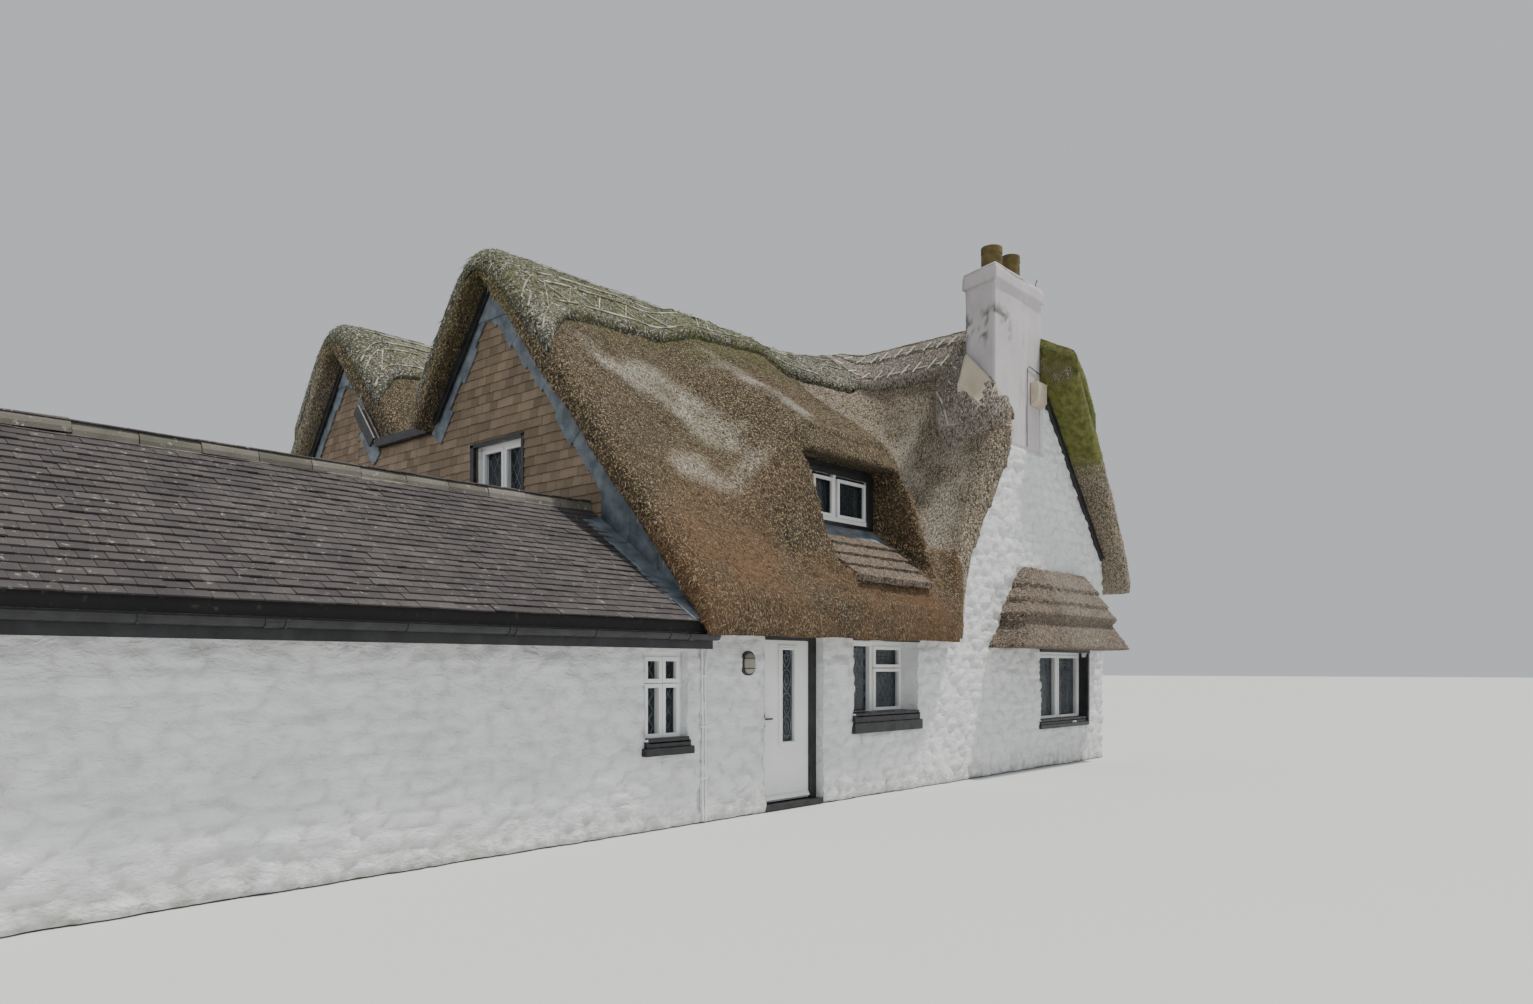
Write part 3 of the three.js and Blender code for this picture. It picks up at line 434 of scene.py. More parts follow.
TINT = {
    "red_reed": (0.155, 0.072, 0.027), "bleached_reed": (0.58, 0.54, 0.45), "moss": (0.115, 0.125, 0.030),
    "dark_moss": (0.080, 0.090, 0.016), "bright_moss": (0.190, 0.200, 0.045),
    "bleached_straw": (0.66, 0.65, 0.60), "mossy_straw": (0.13, 0.15, 0.05),
    "dark_rod": (0.13, 0.135, 0.070), "pale_rod": (0.50, 0.49, 0.42),
    "limewash": (0.80, 0.81, 0.81), "dull_limewash": (0.70, 0.72, 0.73), "dirt": (0.42, 0.40, 0.36),
    "splash": (0.30, 0.29, 0.22), "joint": (0.44, 0.42, 0.37),
    "pale_lichen": (0.46, 0.46, 0.40), "yellow_lichen": (0.33, 0.27, 0.06),
    # The pale glass tone is a painted reflection of the sky.
    "dark_glass": (0.020, 0.026, 0.030), "glass_reflection": (0.070, 0.085, 0.095),
    "render": (0.60, 0.56, 0.57), "dull_render": (0.48, 0.445, 0.455), "mould": (0.09, 0.08, 0.075),
    "streak": (0.33, 0.31, 0.30), "dark_lens": (0.22, 0.20, 0.165), "pale_lens": (0.36, 0.335, 0.285),
}
MIX_COLOURS = (6, 7)
MIX_RESULT = 2
EVEN = (1.0, 1.0, 1.0)
FINE_X = (2.2, 1.0, 1.0)
FINE_Y = (1.0, 2.2, 1.0)
LOW_REED = {"top": 4.3, "foot": 2.6}


def darker(colour, share):
    return tuple(part * share for part in colour)


def thatch_look(name, slot, stretch, dark, light, fleck, red=0.0):
    """Cut reed: fine flecks over brown, with painted shade in the hollows between the reeds, weathered and
    mossy areas from the marks, and painted shade under the steps of block cut courses.
    """
    look = Look(name, slot, 0.95)
    broad = look.noise(0.9, 4.0)
    base = look.tint(dark, broad, 0.35, 0.65, light)
    fine = look.noise(16.0, 4.0, stretch, 0.7)
    # Painted shade in the hollows between the reeds: near black where the fine noise, which is also the
    # bump's height, is low.
    base = look.tint(darker(dark, 0.25), fine, 0.40, 0.60, base)
    spark = look.noise(34.0, 3.0, stretch, 0.75)
    base = look.tint(base, spark, 0.54, 0.63, fleck, 0.95)
    if red:
        low = look.span(look.height(), LOW_REED["top"], LOW_REED["foot"], 0.0, red)
        base = look.mix(look.times(low, look.span(broad, 0.30, 0.62)), base, TINT["red_reed"])
    patch = look.span(look.noise(24.0, 5.0, stretch, 0.8), 0.45, 0.58)
    worn = look.times(look.mark("weather"), patch)
    base = look.tint(base, worn, 0.1, 0.9, TINT["bleached_reed"], 0.85)
    moss = look.times(look.mark("moss"), look.span(look.noise(7.0, 4.0), 0.34, 0.60))
    base = look.tint(base, moss, 0.1, 0.8, TINT["moss"], 0.9)
    green = look.tint(TINT["dark_moss"], look.noise(11.0, 4.0), 0.35, 0.65, TINT["bright_moss"])
    base = look.tint(base, look.mark("moss"), 0.80, 1.0, green, 0.9)
    # Painted shade under the steps of block cut courses, read from its mark.
    look.colour(look.tint(base, look.mark("course_shade"), 0.2, 1.0, darker(dark, 0.4), 0.6))
    look.bump(fine, 0.03)
    look.bump(spark, 0.018, 0.9)
    return look


def straw_look(name, slot, low, high):
    look = Look(name, slot, 0.85)
    base = look.mix(look.mark("tone"), low, high)
    base = look.tint(base, look.mark("weather"), 0.1, 0.9, TINT["bleached_straw"], 0.8)
    look.colour(look.tint(base, look.mark("moss"), 0.1, 0.9, TINT["mossy_straw"], 0.85))
    look.bump(look.noise(60.0, 2.0), 0.003)
    return look


def rod_look():
    look = Look("split_rods", "ridge_thatch", 0.8)
    look.colour(look.tint(TINT["dark_rod"], look.noise(6.0, 4.0), 0.42, 0.60, TINT["pale_rod"]))
    look.bump(look.noise(60.0, 3.0), 0.003)
    return look


def limewash_look():
    look = Look("limewash", "limewashed_stone", 0.88)
    wash = look.tint(TINT["limewash"], look.noise(1.3, 5.0), 0.35, 0.7, TINT["dull_limewash"])
    dirt = look.times(look.span(look.noise(5.5, 6.0), 0.50, 0.72), look.span(look.noise(0.8, 3.0), 0.4, 0.7))
    wash = look.tint(wash, dirt, 0.0, 1.0, TINT["dirt"], 0.5)
    splash = look.times(look.span(look.height(), 0.35, 0.0), look.span(look.noise(9.0, 5.0), 0.4, 0.65))
    wash = look.tint(wash, splash, 0.0, 1.0, TINT["splash"], 0.65)
    look.colour(look.tint(wash, look.mark("joint"), 0.15, 1.0, TINT["joint"], 0.34))
    look.bump(look.noise(5.0, 4.0, (1.0, 1.0, 1.9), distortion=0.6), 0.05, 0.7)
    look.bump(look.noise(28.0, 4.0, (1.0, 1.0, 1.6)), 0.012, 0.8)
    return look


def tile_look(name, base, pale, dark, lichen, blotch=0.75):
    look = Look(name, "clay_tile", 0.85)
    body = look.mix(look.mark("tone"), base, pale)
    body = look.tint(body, look.noise(2.2, 5.0), 0.45, 0.70, dark, blotch)
    body = look.tint(body, look.noise(16.0, 5.0, roughness=0.7), 0.60, 0.70, TINT["pale_lichen"], lichen)
    look.colour(look.tint(body, look.noise(21.0, 4.0), 0.68, 0.74, TINT["yellow_lichen"], lichen))
    look.bump(look.noise(90.0, 4.0), 0.003)
    look.bump(look.noise(14.0, 3.0), 0.006, 0.6)
    return look


def metal_look(name, slot, roughness, low, high, bump):
    look = Look(name, slot, roughness)
    look.colour(look.tint(low, look.noise(6.0, 6.0), 0.35, 0.68, high))
    look.bump(look.noise(9.0, 4.0), bump)
    look.rough(look.span(look.noise(18.0, 4.0), 0.3, 0.7, roughness - 0.12, roughness + 0.15))
    return look


def glass_look():
    look = Look("window_glass", "glass", 0.05)
    # Painted reflection: soft patches where the dark glass turns to the pale, sky coloured tone.
    look.colour(look.mix(look.noise(1.4, 2.0), TINT["dark_glass"], TINT["glass_reflection"]))
    look.shader.inputs["Alpha"].default_value = 0.45
    look.bump(look.noise(3.0, 2.0), 0.004, 0.4)
    return look


def lens_look():
    look = Look("lamp_lens", "glass", 0.35)
    look.colour(look.mix(look.noise(6.0, 3.0), TINT["dark_lens"], TINT["pale_lens"]))
    look.bump(look.noise(60.0, 2.0, (3.0, 1.0, 0.2)), 0.002)
    return look


def render_look():
    look = Look("chimney_render", "chimney_render", 0.85)
    wash = look.tint(TINT["render"], look.noise(1.1, 5.0), 0.35, 0.7, TINT["dull_render"])
    wash = look.tint(wash, look.mark("mould"), 0.15, 0.9, TINT["mould"], 0.85)
    look.colour(look.tint(wash, look.noise(5.0, 5.0, (1.6, 1.6, 0.35)), 0.56, 0.72, TINT["streak"], 0.35))
    look.bump(look.noise(11.0, 5.0), 0.010, 0.6)
    look.bump(look.noise(60.0, 3.0), 0.003, 0.7)
    return look


def plain_look(name, slot, roughness, low, high, scale, bump, stretch=None):
    look = Look(name, slot, roughness)
    look.colour(look.tint(low, look.noise(scale, 5.0, stretch), 0.3, 0.7, high))
    look.bump(look.noise(scale * 4, 4.0, stretch), bump)
    return look


REED_X = thatch_look(
    "reed_along_y", "thatch", FINE_X, (0.054, 0.040, 0.021), (0.110, 0.079, 0.042), (0.50, 0.39, 0.23), 0.65,
)
REED_Y = thatch_look(
    "reed_along_x", "thatch", FINE_Y, (0.165, 0.125, 0.082), (0.320, 0.255, 0.178), (0.66, 0.60, 0.48),
)
RIDGE = thatch_look(
    "ridge_reed", "ridge_thatch", EVEN, (0.070, 0.068, 0.042), (0.165, 0.155, 0.108), (0.62, 0.62, 0.56),
)
RIDGE_PALE = thatch_look(
    "cross_ridge_reed", "ridge_thatch", FINE_Y,
    (0.180, 0.145, 0.115), (0.370, 0.310, 0.260), (0.74, 0.68, 0.60),
)
APRON = thatch_look(
    "block_cut_reed", "ridge_thatch", FINE_X,
    (0.140, 0.098, 0.068), (0.270, 0.200, 0.150), (0.50, 0.42, 0.34),
)
MOSSY = thatch_look(
    "mossy_reed", "ridge_thatch", EVEN, (0.062, 0.066, 0.022), (0.135, 0.140, 0.040), (0.26, 0.27, 0.10),
)
STRAW = straw_look("straw", "thatch", (0.085, 0.052, 0.026), (0.60, 0.45, 0.26))
RIDGE_STRAW = straw_look("ridge_straw", "ridge_thatch", (0.11, 0.095, 0.06), (0.60, 0.56, 0.46))
MOSS_STRAW = straw_look("moss_straw", "ridge_thatch", (0.075, 0.080, 0.025), (0.24, 0.25, 0.09))
RODS = rod_look()
SPARS = plain_look("split_spars", "ridge_thatch", 0.8, (0.50, 0.49, 0.43), (0.80, 0.79, 0.72), 9.0, 0.003)
LIMEWASH = limewash_look()
ROOF_TILE = tile_look("roof_tile", (0.040, 0.034, 0.034), (0.078, 0.067, 0.066), (0.028, 0.025, 0.026), 0.5)
HUNG_TILE = tile_look(
    "hung_tile", (0.150, 0.108, 0.070), (0.255, 0.190, 0.128), (0.100, 0.078, 0.055), 0.2, 0.3,
)
RIDGE_TILE = tile_look("ridge_tile", (0.105, 0.095, 0.078), (0.190, 0.172, 0.150), (0.055, 0.062, 0.032), 1.0)
# Near black for the wing's roof slabs under the tile courses: painted shade, which shows in the gaps between
# the tiles and at their edges.
SHADE_UNDER_TILES = tile_look("painted_shade_under_tiles", (0.020, 0.018, 0.018), (0.035, 0.030, 0.030), (0.012, 0.011, 0.011), 0.1)
LEAD = metal_look("lead_sheet", "lead", 0.75, (0.085, 0.105, 0.125), (0.200, 0.235, 0.265), 0.010)
BLACK = metal_look("black_paint", "black_paint", 0.40, (0.008, 0.008, 0.010), (0.026, 0.026, 0.029), 0.003)
IRON = metal_look("black_iron", "black_iron", 0.35, (0.012, 0.012, 0.013), (0.030, 0.029, 0.028), 0.002)
WHITE = plain_look("white_paint", "white_paint", 0.35, (0.78, 0.79, 0.78), (0.86, 0.87, 0.85), 3.0, 0.002)
GLASS = glass_look()
LENS = lens_look()
RENDER = render_look()
CEMENT = plain_look("cement_fillet", "cement", 0.92, (0.40, 0.34, 0.25), (0.56, 0.49, 0.38), 2.4, 0.010)
POT = plain_look("clay_pot", "clay_pot", 0.85, (0.050, 0.042, 0.012), (0.165, 0.115, 0.035), 7.0, 0.004)
MORTAR = plain_look("ridge_mortar", "cement", 0.95, (0.085, 0.078, 0.066), (0.200, 0.185, 0.160), 9.0, 0.006)
FLOOR = plain_look("floor_screed", "floor", 0.8, (0.25, 0.22, 0.18), (0.34, 0.30, 0.25), 2.0, 0.003)
BOARDS = plain_look(
    "floor_boards", "floor_boards", 0.7, (0.22, 0.15, 0.09), (0.33, 0.24, 0.15), 3.0, 0.003, (1.0, 8.0, 1.0),
)


# Thatch
def vertex_normals(mesh):
    normals = np.zeros(len(mesh.vertices) * 3, np.float32)
    mesh.vertices.foreach_get("normal", normals)
    return normals.reshape(-1, 3).astype(float)


def remeshed(node, voxel, smoothing):
    """A node's solid as an even mesh with softened edges, in house coordinates."""
    work = bpy.data.objects.new("work", NODES[node].data.copy())
    bpy.context.scene.collection.objects.link(work)
    remesh = work.modifiers.new("remesh", "REMESH")
    remesh.mode = "VOXEL"
    remesh.voxel_size = voxel
    smooth = work.modifiers.new("smooth", "SMOOTH")
    smooth.factor = 0.5
    smooth.iterations = smoothing
    mesh = bpy.data.meshes.new_from_object(work.evaluated_get(bpy.context.evaluated_depsgraph_get()))
    verts = np.zeros(len(mesh.vertices) * 3, np.float32)
    mesh.vertices.foreach_get("co", verts)
    normals = vertex_normals(mesh)
    faces = [tuple(face.vertices) for face in mesh.polygons]
    bpy.data.objects.remove(work)
    bpy.data.meshes.remove(mesh)
    return verts.reshape(-1, 3).astype(float) - HOME, faces, normals


# Bleached areas of the thatch: plan points with the half width there
BLEACHED = [
    ([(0.40, 2.10), (0.85, 1.88), (1.35, 1.70), (1.62, 1.35), (1.55, 0.90)], (0.36, 0.42, 0.52, 0.54, 0.40)),
    ([(0.60, 0.86), (1.12, 0.84), (1.35, 0.66)], (0.34, 0.42, 0.30)),
    ([(2.20, 2.10), (2.46, 1.66), (2.72, 1.25), (2.62, 0.75)], (0.40, 0.46, 0.44, 0.24)),
    ([(6.05, 1.75), (5.70, 1.10), (5.40, 0.45), (5.10, 0.10)], (0.45, 0.62, 0.62, 0.42)),
]


def near_patch(x, y, points, widths):
    """1 along the middle of a patch, falling to 0 at its half width."""
    best = np.zeros(x.shape)
    spans = zip(points[:-1], points[1:], widths[:-1], widths[1:])
    for (ax, ay), (bx, by), a_wide, b_wide in spans:
        length = (bx - ax) ** 2 + (by - ay) ** 2
        share = clamp(((x - ax) * (bx - ax) + (y - ay) * (by - ay)) / length)
        distance = np.hypot(x - ax - share * (bx - ax), y - ay - share * (by - ay))
        best = np.maximum(best, 1 - distance / (a_wide + share * (b_wide - a_wide)))
    return clamp(best)


# Where the other areas of wear and moss begin
REAR_WEAR = {"x": 7.2, "y": 4.2, "most": 0.5}
VERGE_WEAR = {"x": 0.75, "z": 2.6, "most": 0.10}
MOSS_Z = 4.7
MOSSY_SLAB = {"x": 7.70, "y": 0.9, "z": 4.2}


def weather_marks(points):
    """Shares of bleached and of mossy reed."""
    x, y, z = points.T
    drift = 0.16 * noise(points, 1.6, 2)
    worn = np.zeros(len(points))
    for line, widths in BLEACHED:
        worn = np.maximum(worn, ease(near_patch(x + drift, y - drift, line, widths) * 1.35))
    worn = worn * clamp(0.55 + 0.9 * noise(points, 3.2, 5))
    rear = ease((y - REAR_WEAR["y"]) / 1.0) + ease((x - REAR_WEAR["x"]) / 0.6)
    worn = np.maximum(worn, REAR_WEAR["most"] * clamp(rear) * clamp(0.5 + noise(points, 0.7, 3)))
    verge = ease((VERGE_WEAR["x"] - x) / 0.8) * ease((x + 1) / 0.3) * ease((z - VERGE_WEAR["z"]) / 1.2)
    worn = np.maximum(worn, VERGE_WEAR["most"] * verge * clamp(0.75 + noise(points, 2.0, 6)))
    top = ease((z - MOSS_Z) / 1.6)
    moss = clamp(0.08 + 0.42 * top + 0.35 * noise(points, 0.8, 9)) * np.where(x > SEAM_X, 0.35, 0.8)
    slab = ease((x - MOSSY_SLAB["x"]) / 0.1) * ease((MOSSY_SLAB["y"] - y) / 0.5)
    slab = slab * ease((z - MOSSY_SLAB["z"] - 0.5 * noise(points, 1.3, 31)) / 0.9)
    return {"weather": clamp(worn) * (1 - 0.8 * slab), "moss": clamp(np.maximum(moss, slab))}


SURFACE_REACH = 0.06
EDGE_CELL = 0.14
STRAW_SHAPE = {"long": (0.6, 1.3), "thick": (0.7, 1.3), "least": 0.12, "root": 0.008, "hang": 0.012}
UNDERSIDE = {"slope": -0.2, "share": 0.25}
SPIKE = [[0, 1, 3], [1, 2, 3], [2, 0, 3], [2, 1, 0]]


def reed_relief(points, normals, depth):
    drift = noise(points, 1.6, 11) * 0.016 + noise(points, 5.0, 12) * 0.008
    tufts = noise(points, 17.0, 13) * 0.007
    return points + normals * (drift + tufts)[:, None] * depth


def on_surface(points, normals):
    """Lifts the points of an upper face onto the exact roof."""
    top = thatch_top(points[:, 0], points[:, 1])
    near = (np.abs(points[:, 2] - top) < SURFACE_REACH) & (normals[:, 2] > 0.25)
    points[near, 2] = top[near]
    return points


def thatch_body(name, node, look, voxel, snap=True, depth=1.0, smoothing=3, shape=None):
    points, faces, normals = remeshed(node, voxel, smoothing)
    if shape:
        points = shape(points, normals)
    if snap:
        points = on_surface(points, normals)
    points = reed_relief(points, normals, depth)
    marks = weather_marks(points)
    make_piece(name, points, faces, look, smooth=True, replaces=(node,), marks=marks)
    return points, np.array(faces), normals


def outer_share(centres, normals):
    """1 where a face of the thatch can be seen from outside, 0 where it lies in the roof space."""
    x, y = centres.T[:2]
    inside = (x > 0.05) & (x < HOUSE_RIGHT - 0.05) & (y > 0.05) & (y < HOUSE_BACK - 0.05)
    seam = (np.abs(x - SEAM_X) < 0.05) & (np.abs(normals[:, 0]) > 0.7)
    seam |= (np.abs(y - SEAM_Y) < 0.05) & (np.abs(normals[:, 1]) > 0.7)
    return np.where((inside & (normals[:, 2] < 0.02)) | seam, 0.0, 1.0)


def edge_share(points, base, long):
    """Less than 1 for straws that would hang past the lowest points around them."""
    low = points.min(0)[:2] - EDGE_CELL
    cells = ((points[:, :2] - low) / EDGE_CELL).astype(int)
    floor = np.full(cells.max(0) + 2, 99.0)
    np.minimum.at(floor, (cells[:, 0], cells[:, 1]), points[:, 2])
    at = ((base[:, :2] - low) / EDGE_CELL).astype(int)
    room = base[:, 2] - floor[at[:, 0], at[:, 1]] + STRAW_SHAPE["hang"]
    return clamp(room[:, None] / long, STRAW_SHAPE["least"], 1.0)


def straws(name, surface, count, length, radius, look, seed, lift=(0.18, 0.42), spread=0.8):
    """Thin closed spikes that stand a little off a surface and point down its slope."""
    points, faces, normals = surface
    rng = np.random.default_rng(seed)
    quads = faces[:, :4]
    corners = points[quads]
    centres = corners.mean(1)
    facing = unit(normals[quads].mean(1))
    across = np.cross(corners[:, 2] - corners[:, 0], corners[:, 3] - corners[:, 1])
    weight = np.linalg.norm(across, axis=1) * outer_share(centres, facing)
    weight = weight * np.where(facing[:, 2] < UNDERSIDE["slope"], UNDERSIDE["share"], 1.0)
    pick = rng.choice(len(quads), count, p=weight / weight.sum())
    u, v = rng.random((2, count, 1))
    a, b, c, d = (corners[pick, k] for k in range(4))
    base = (a * (1 - u) + b * u) * (1 - v) + (d * (1 - u) + c * u) * v
    normal = facing[pick]
    down = 0.05 * rng.standard_normal((count, 3)) - UP
    down = unit(down - normal * (down * normal).sum(1, keepdims=True))
    side = np.cross(normal, down)
    turn = rng.normal(0, spread, (count, 1))
    rise = rng.uniform(*lift, (count, 1))
    along = unit(down * np.cos(turn) + side * np.sin(turn) + normal * rise)
    side = unit(np.cross(normal, along))
    up = np.cross(along, side)
    long = length * rng.uniform(*STRAW_SHAPE["long"], (count, 1))
    thick = radius * rng.uniform(*STRAW_SHAPE["thick"], (count, 1))
    long = long * edge_share(points, base, long)
    root = base - normal * STRAW_SHAPE["root"]
    tip = root + along * long
    other = root - side * thick * 0.5
    verts = np.stack([root + side * thick, other + up * thick, other - up * thick, tip], 1)
    past = np.maximum(verts + HOME - HIGH_CORNER, 0).max(1, keepdims=True)
    short = np.maximum(LOW_CORNER - verts - HOME, 0).max(1, keepdims=True)
    verts = (verts - past + short).reshape(-1, 3)
    tris = (np.arange(count)[:, None, None] * 4 + np.array(SPIKE)).reshape(-1, 3)
    marks = {key: np.repeat(value, 4) for key, value in weather_marks(base).items()}
    marks["tone"] = np.repeat(rng.random(count) ** 1.6, 4)
    return make_piece(name, verts, tris, look, marks=marks)


def over_seam(points, _):
    """Laps a range's reed a little way onto the cross wing, so that no joint shows."""
    near = points[:, 0] > SEAM_X - 0.05
    points[near, 0] += SEAM_LAP
    points[near, 2] += thatch_top(points[near, 0], points[near, 1])
    points[near, 2] -= thatch_top(points[near, 0] - SEAM_LAP, points[near, 1])
    front = near & (points[:, 1] < 0)
    points[front, 1] += front_end(points[front, 0]) - front_end(points[front, 0] - SEAM_LAP)
    return points


def below_shoulder(points, _):
    """Keeps the reed in front of the stack's left corner below its cement shoulder."""
    x, y, z = points.T
    head = SHOULDER_FOOT["z"] - SHOULDER_FOOT["slope"] * (x - SHOULDER_FOOT["x"])
    near = (y < 0.03) & (x > 5.9) & (x < 7.0) & (z > head)
    points[near, 2] = head[near]
    return points


def thatch():
    main = thatch_body("main_reed", "main_thatch", REED_X, 0.052, shape=over_seam)
    rear = thatch_body("rear_reed", "rear_thatch", REED_X, 0.072, shape=over_seam)
    cross = thatch_body("cross_reed", "cross_thatch", REED_Y, 0.075, smoothing=8, shape=below_shoulder)
    straws("main_reed_ends", main, 44000, 0.070, 0.0047, STRAW, 1)
    straws("rear_reed_ends", rear, 6000, 0.085, 0.0060, STRAW, 2)
    straws("cross_reed_ends", cross, 20000, 0.080, 0.0056, STRAW, 3)


def follow(xs, points):
    """A value read from a short list of (x, value) pairs."""
    return np.interp(xs, [p[0] for p in points], [p[1] for p in points])


# Block cut ridges, with split rods pinned along them
LAYER = {
    "rise": 0.125, "crest": 0.05, "sink": 0.05, "inset": 0.02, "edge_lift": 0.004, "least": 0.08,
    "cross_left": 6.42, "cross_right": 8.45,
}
MAIN_REACH = [
    (-0.5, 1.45), (-0.2, 1.24), (0.1, 1.03), (0.42, 0.97), (1.5, 0.90), (2.4, 1.0),
    (3.0, 0.92), (3.6, 0.80), (4.4, 0.68), (5.1, 0.70), (6.45, 0.86),
]
REAR_REACH = [(-0.2, 1.40), (0.1, 1.22), (0.4, 1.0), (0.8, 0.93), (6.45, 0.86)]
ROD = {"width": 0.020, "thick": 0.014, "step": 0.12, "cross": 0.24, "lift": 0.012}
ROD_ROWS = {"edge": (0.08, 0.34, 0.46), "crown": (0.30, 0.13)}
SPAR = {"step": 0.26, "jitter": 0.04, "lean": 0.10, "width": 0.022, "thick": 0.012}
TUFT_LENGTH = 0.085
TUFT_RADIUS = 0.0062


def roof_slab(place, rows, columns, rise, sink, seed):
    """A closed slab on the roof over a grid of plan points given by place(u, v)."""
    u, v = unit_grid(rows, columns)
    x, y = place(u, v)
    top = roof_point(x, y, rise(x, y) if callable(rise) else rise)
    edge = np.minimum(np.minimum(v, 1 - v) * rows, np.minimum(u, 1 - u) * columns)
    relief = noise(top, 3.0, seed) * 0.010 + noise(top, 14.0, seed + 1) * 0.007
    top[..., 2] += relief + LAYER["edge_lift"] * clamp(1 - edge / 3)
    bottom = roof_point(x, y, -sink)
    bottom[..., 2] = np.minimum(bottom[..., 2], top[..., 2] - LAYER["least"])
    return sheet_slab(top, bottom)


def rods_on_roof(xs, ys, lift, keep=True):
    """A pinned rod that follows the roof through plan points, or the kept parts of one."""
    points = roof_point(xs, ys, lift)
    normals = roof_normal(xs, ys)[:-1]
    keep = np.broadcast_to(keep, len(normals))
    return beams(points[:-1][keep], points[1:][keep], normals[keep], ROD["width"], ROD["thick"])


def reed_mesh(name, solid, look, replaces=(), course_shade=None):
    verts, faces = solid
    marks = weather_marks(verts)
    # The optional mark is painted shade under the steps of block cut courses.
    if course_shade:
        marks["course_shade"] = course_shade(verts)
    made = make_piece(name, verts, faces, look, smooth=True, replaces=replaces, marks=marks)
    return verts, faces, vertex_normals(made.data)


def range_ridge(name, node, section, reach, left, count, seed):
    rng = np.random.default_rng(seed)
    ridge = section["ridge"]
    right = LAYER["cross_left"]

    def place(u, v):
        guess = lerp(left, right, u)
        y = ridge + lerp(-follow(guess, reach), follow(guess, reach), v)
        return lerp(left_end(y) + LAYER["inset"], right, u), y

    def rise(_, y):
        return LAYER["rise"] - LAYER["crest"] * (1 - ease(np.abs(y - ridge) / 0.55))

    slab = roof_slab(place, 34, 104, rise, LAYER["sink"], seed)
    surface = reed_mesh(name, slab, RIDGE, (node,))
    tuft = (TUFT_LENGTH, TUFT_RADIUS, RIDGE_STRAW)
    straws(f"{name}_ends", surface, count, *tuft, seed + 50, (0.05, 0.35), 1.0)
    straws(f"{name}_strokes", surface, count // 5, 0.19, 0.0080, RIDGE_STRAW, seed + 51, (0.02, 0.10), 0.45)
    lift = LAYER["rise"] + ROD["lift"]
    rods = Pile()
    xs = np.arange(left + 0.1, right, ROD["step"])
    for side in (-1, 1):
        edge = follow(xs, reach)
        for row in [*(edge - offset for offset in ROD_ROWS["edge"]), *ROD_ROWS["crown"]]:
            y = ridge + side * row
            x = np.maximum(xs, left_end(y) + 0.05)
            sunk = noise(xyz(x, y, 9.0), 1.6, seed + 60)[:-1]
            kept = (sunk < 0.25) & (rng.random(len(sunk)) > 0.12)
            rods.add(rods_on_roof(x, y, rise(x, y) + ROD["lift"], kept))
        for a, b in ((0, ROD["cross"]), (ROD["cross"], 0)):
            starts = np.arange(left + 0.35, right - 0.3, ROD["cross"])
            starts = starts + rng.uniform(-0.05, 0.05, len(starts))
            starts = starts[rng.random(len(starts)) > 0.55]
            x0, x1 = starts + a, starts + b
            low = roof_point(x0, ridge + side * (follow(x0, reach) - ROD_ROWS["edge"][0]), lift)
            high = roof_point(x1, ridge + side * (follow(x1, reach) - ROD_ROWS["edge"][1]), lift - 0.01)
            normals = roof_normal(x0, ridge + side * (follow(x0, reach) - 0.2))
            rods.add(beams(low, high, normals, 0.015, 0.010))
    rods.piece(f"{name}_rods", RODS)


def cross_ridge():
    left, right = LAYER["cross_left"], LAYER["cross_right"]
    back = BACK_EAVE - LAYER["inset"]
    start = STACK["back"] - 0.03

    def rise(x, _):
        return LAYER["rise"] - LAYER["crest"] * (1 - ease(np.abs(x - CROSS["ridge"]) / 0.45))

    def place(u, v):
        return lerp(left, right, v), lerp(start, back, u)

    def verge_place(u, v):
        x = lerp(STACK["x1"] + 0.01, right + 0.25, v)
        return x, lerp(front_end(x) + 0.01, start + 0.01, u)

    slab = roof_slab(place, 32, 150, rise, LAYER["sink"], 71)
    surface = reed_mesh("cross_ridge_reed", slab, RIDGE_PALE, ("cross_ridge",))
    straws("cross_ridge_ends", surface, 6000, TUFT_LENGTH, TUFT_RADIUS, RIDGE_STRAW, 75, (0.05, 0.3), 1.0)
    slab = roof_slab(verge_place, 20, 26, LAYER["rise"] + 0.01, 0.12, 73)
    surface = reed_mesh("verge_slab_reed", slab, MOSSY)
    straws("verge_slab_ends", surface, 900, 0.05, 0.0055, MOSS_STRAW, 76, (0.05, 0.3), 1.2)
    rods, spars = Pile(), Pile()
    rng = np.random.default_rng(78)
    lift = LAYER["rise"] + ROD["lift"]
    ys = np.arange(start + 0.1, back, ROD["step"])
    for side, edge in ((-1, left), (1, right)):
        for offset in (0.08, 0.30):
            rods.add(rods_on_roof(edge - side * offset, ys, lift))
        rods.add(rods_on_roof(CROSS["ridge"] + side * 0.13, ys, lift - 0.04))
        for near, far in ((0.05, 0.14), (0.27, 0.37)):
            starts = np.arange(start + 0.1, back - 0.4, SPAR["step"])
            starts = starts + rng.uniform(-SPAR["jitter"], SPAR["jitter"], len(starts))
            low = roof_point(edge - side * near, starts + SPAR["lean"], lift + 0.004)
            high = roof_point(edge - side * far, starts, lift + 0.004)
            normals = roof_normal(edge - side * near, starts)
            spars.add(beams(low, high, normals, SPAR["width"], SPAR["thick"]))
    rods.piece("cross_ridge_rods", RODS)
    spars.piece("cross_ridge_spars", SPARS)


# Block cut reed below the chimney's shoulder
STACK_APRON = {"course": 0.135, "step": 0.050, "front": -0.30, "back": 1.05, "crest": 5.57}
STACK_APRON_LOW = [(-0.34, 6.02), (-0.1, 5.88), (0.3, 5.80), (0.56, 5.80), (0.81, 5.93), (1.05, 6.25)]


def stack_apron_place(u, v):
    y = lerp(STACK_APRON["front"], STACK_APRON["back"], u)
    x0 = follow(y, STACK_APRON_LOW)
    y = np.maximum(y, front_end(x0) + 0.015)
    right = np.where(y < -0.03, 6.36, np.where(y < 0.6, 6.252, 6.42))
    return lerp(x0, right, v), y


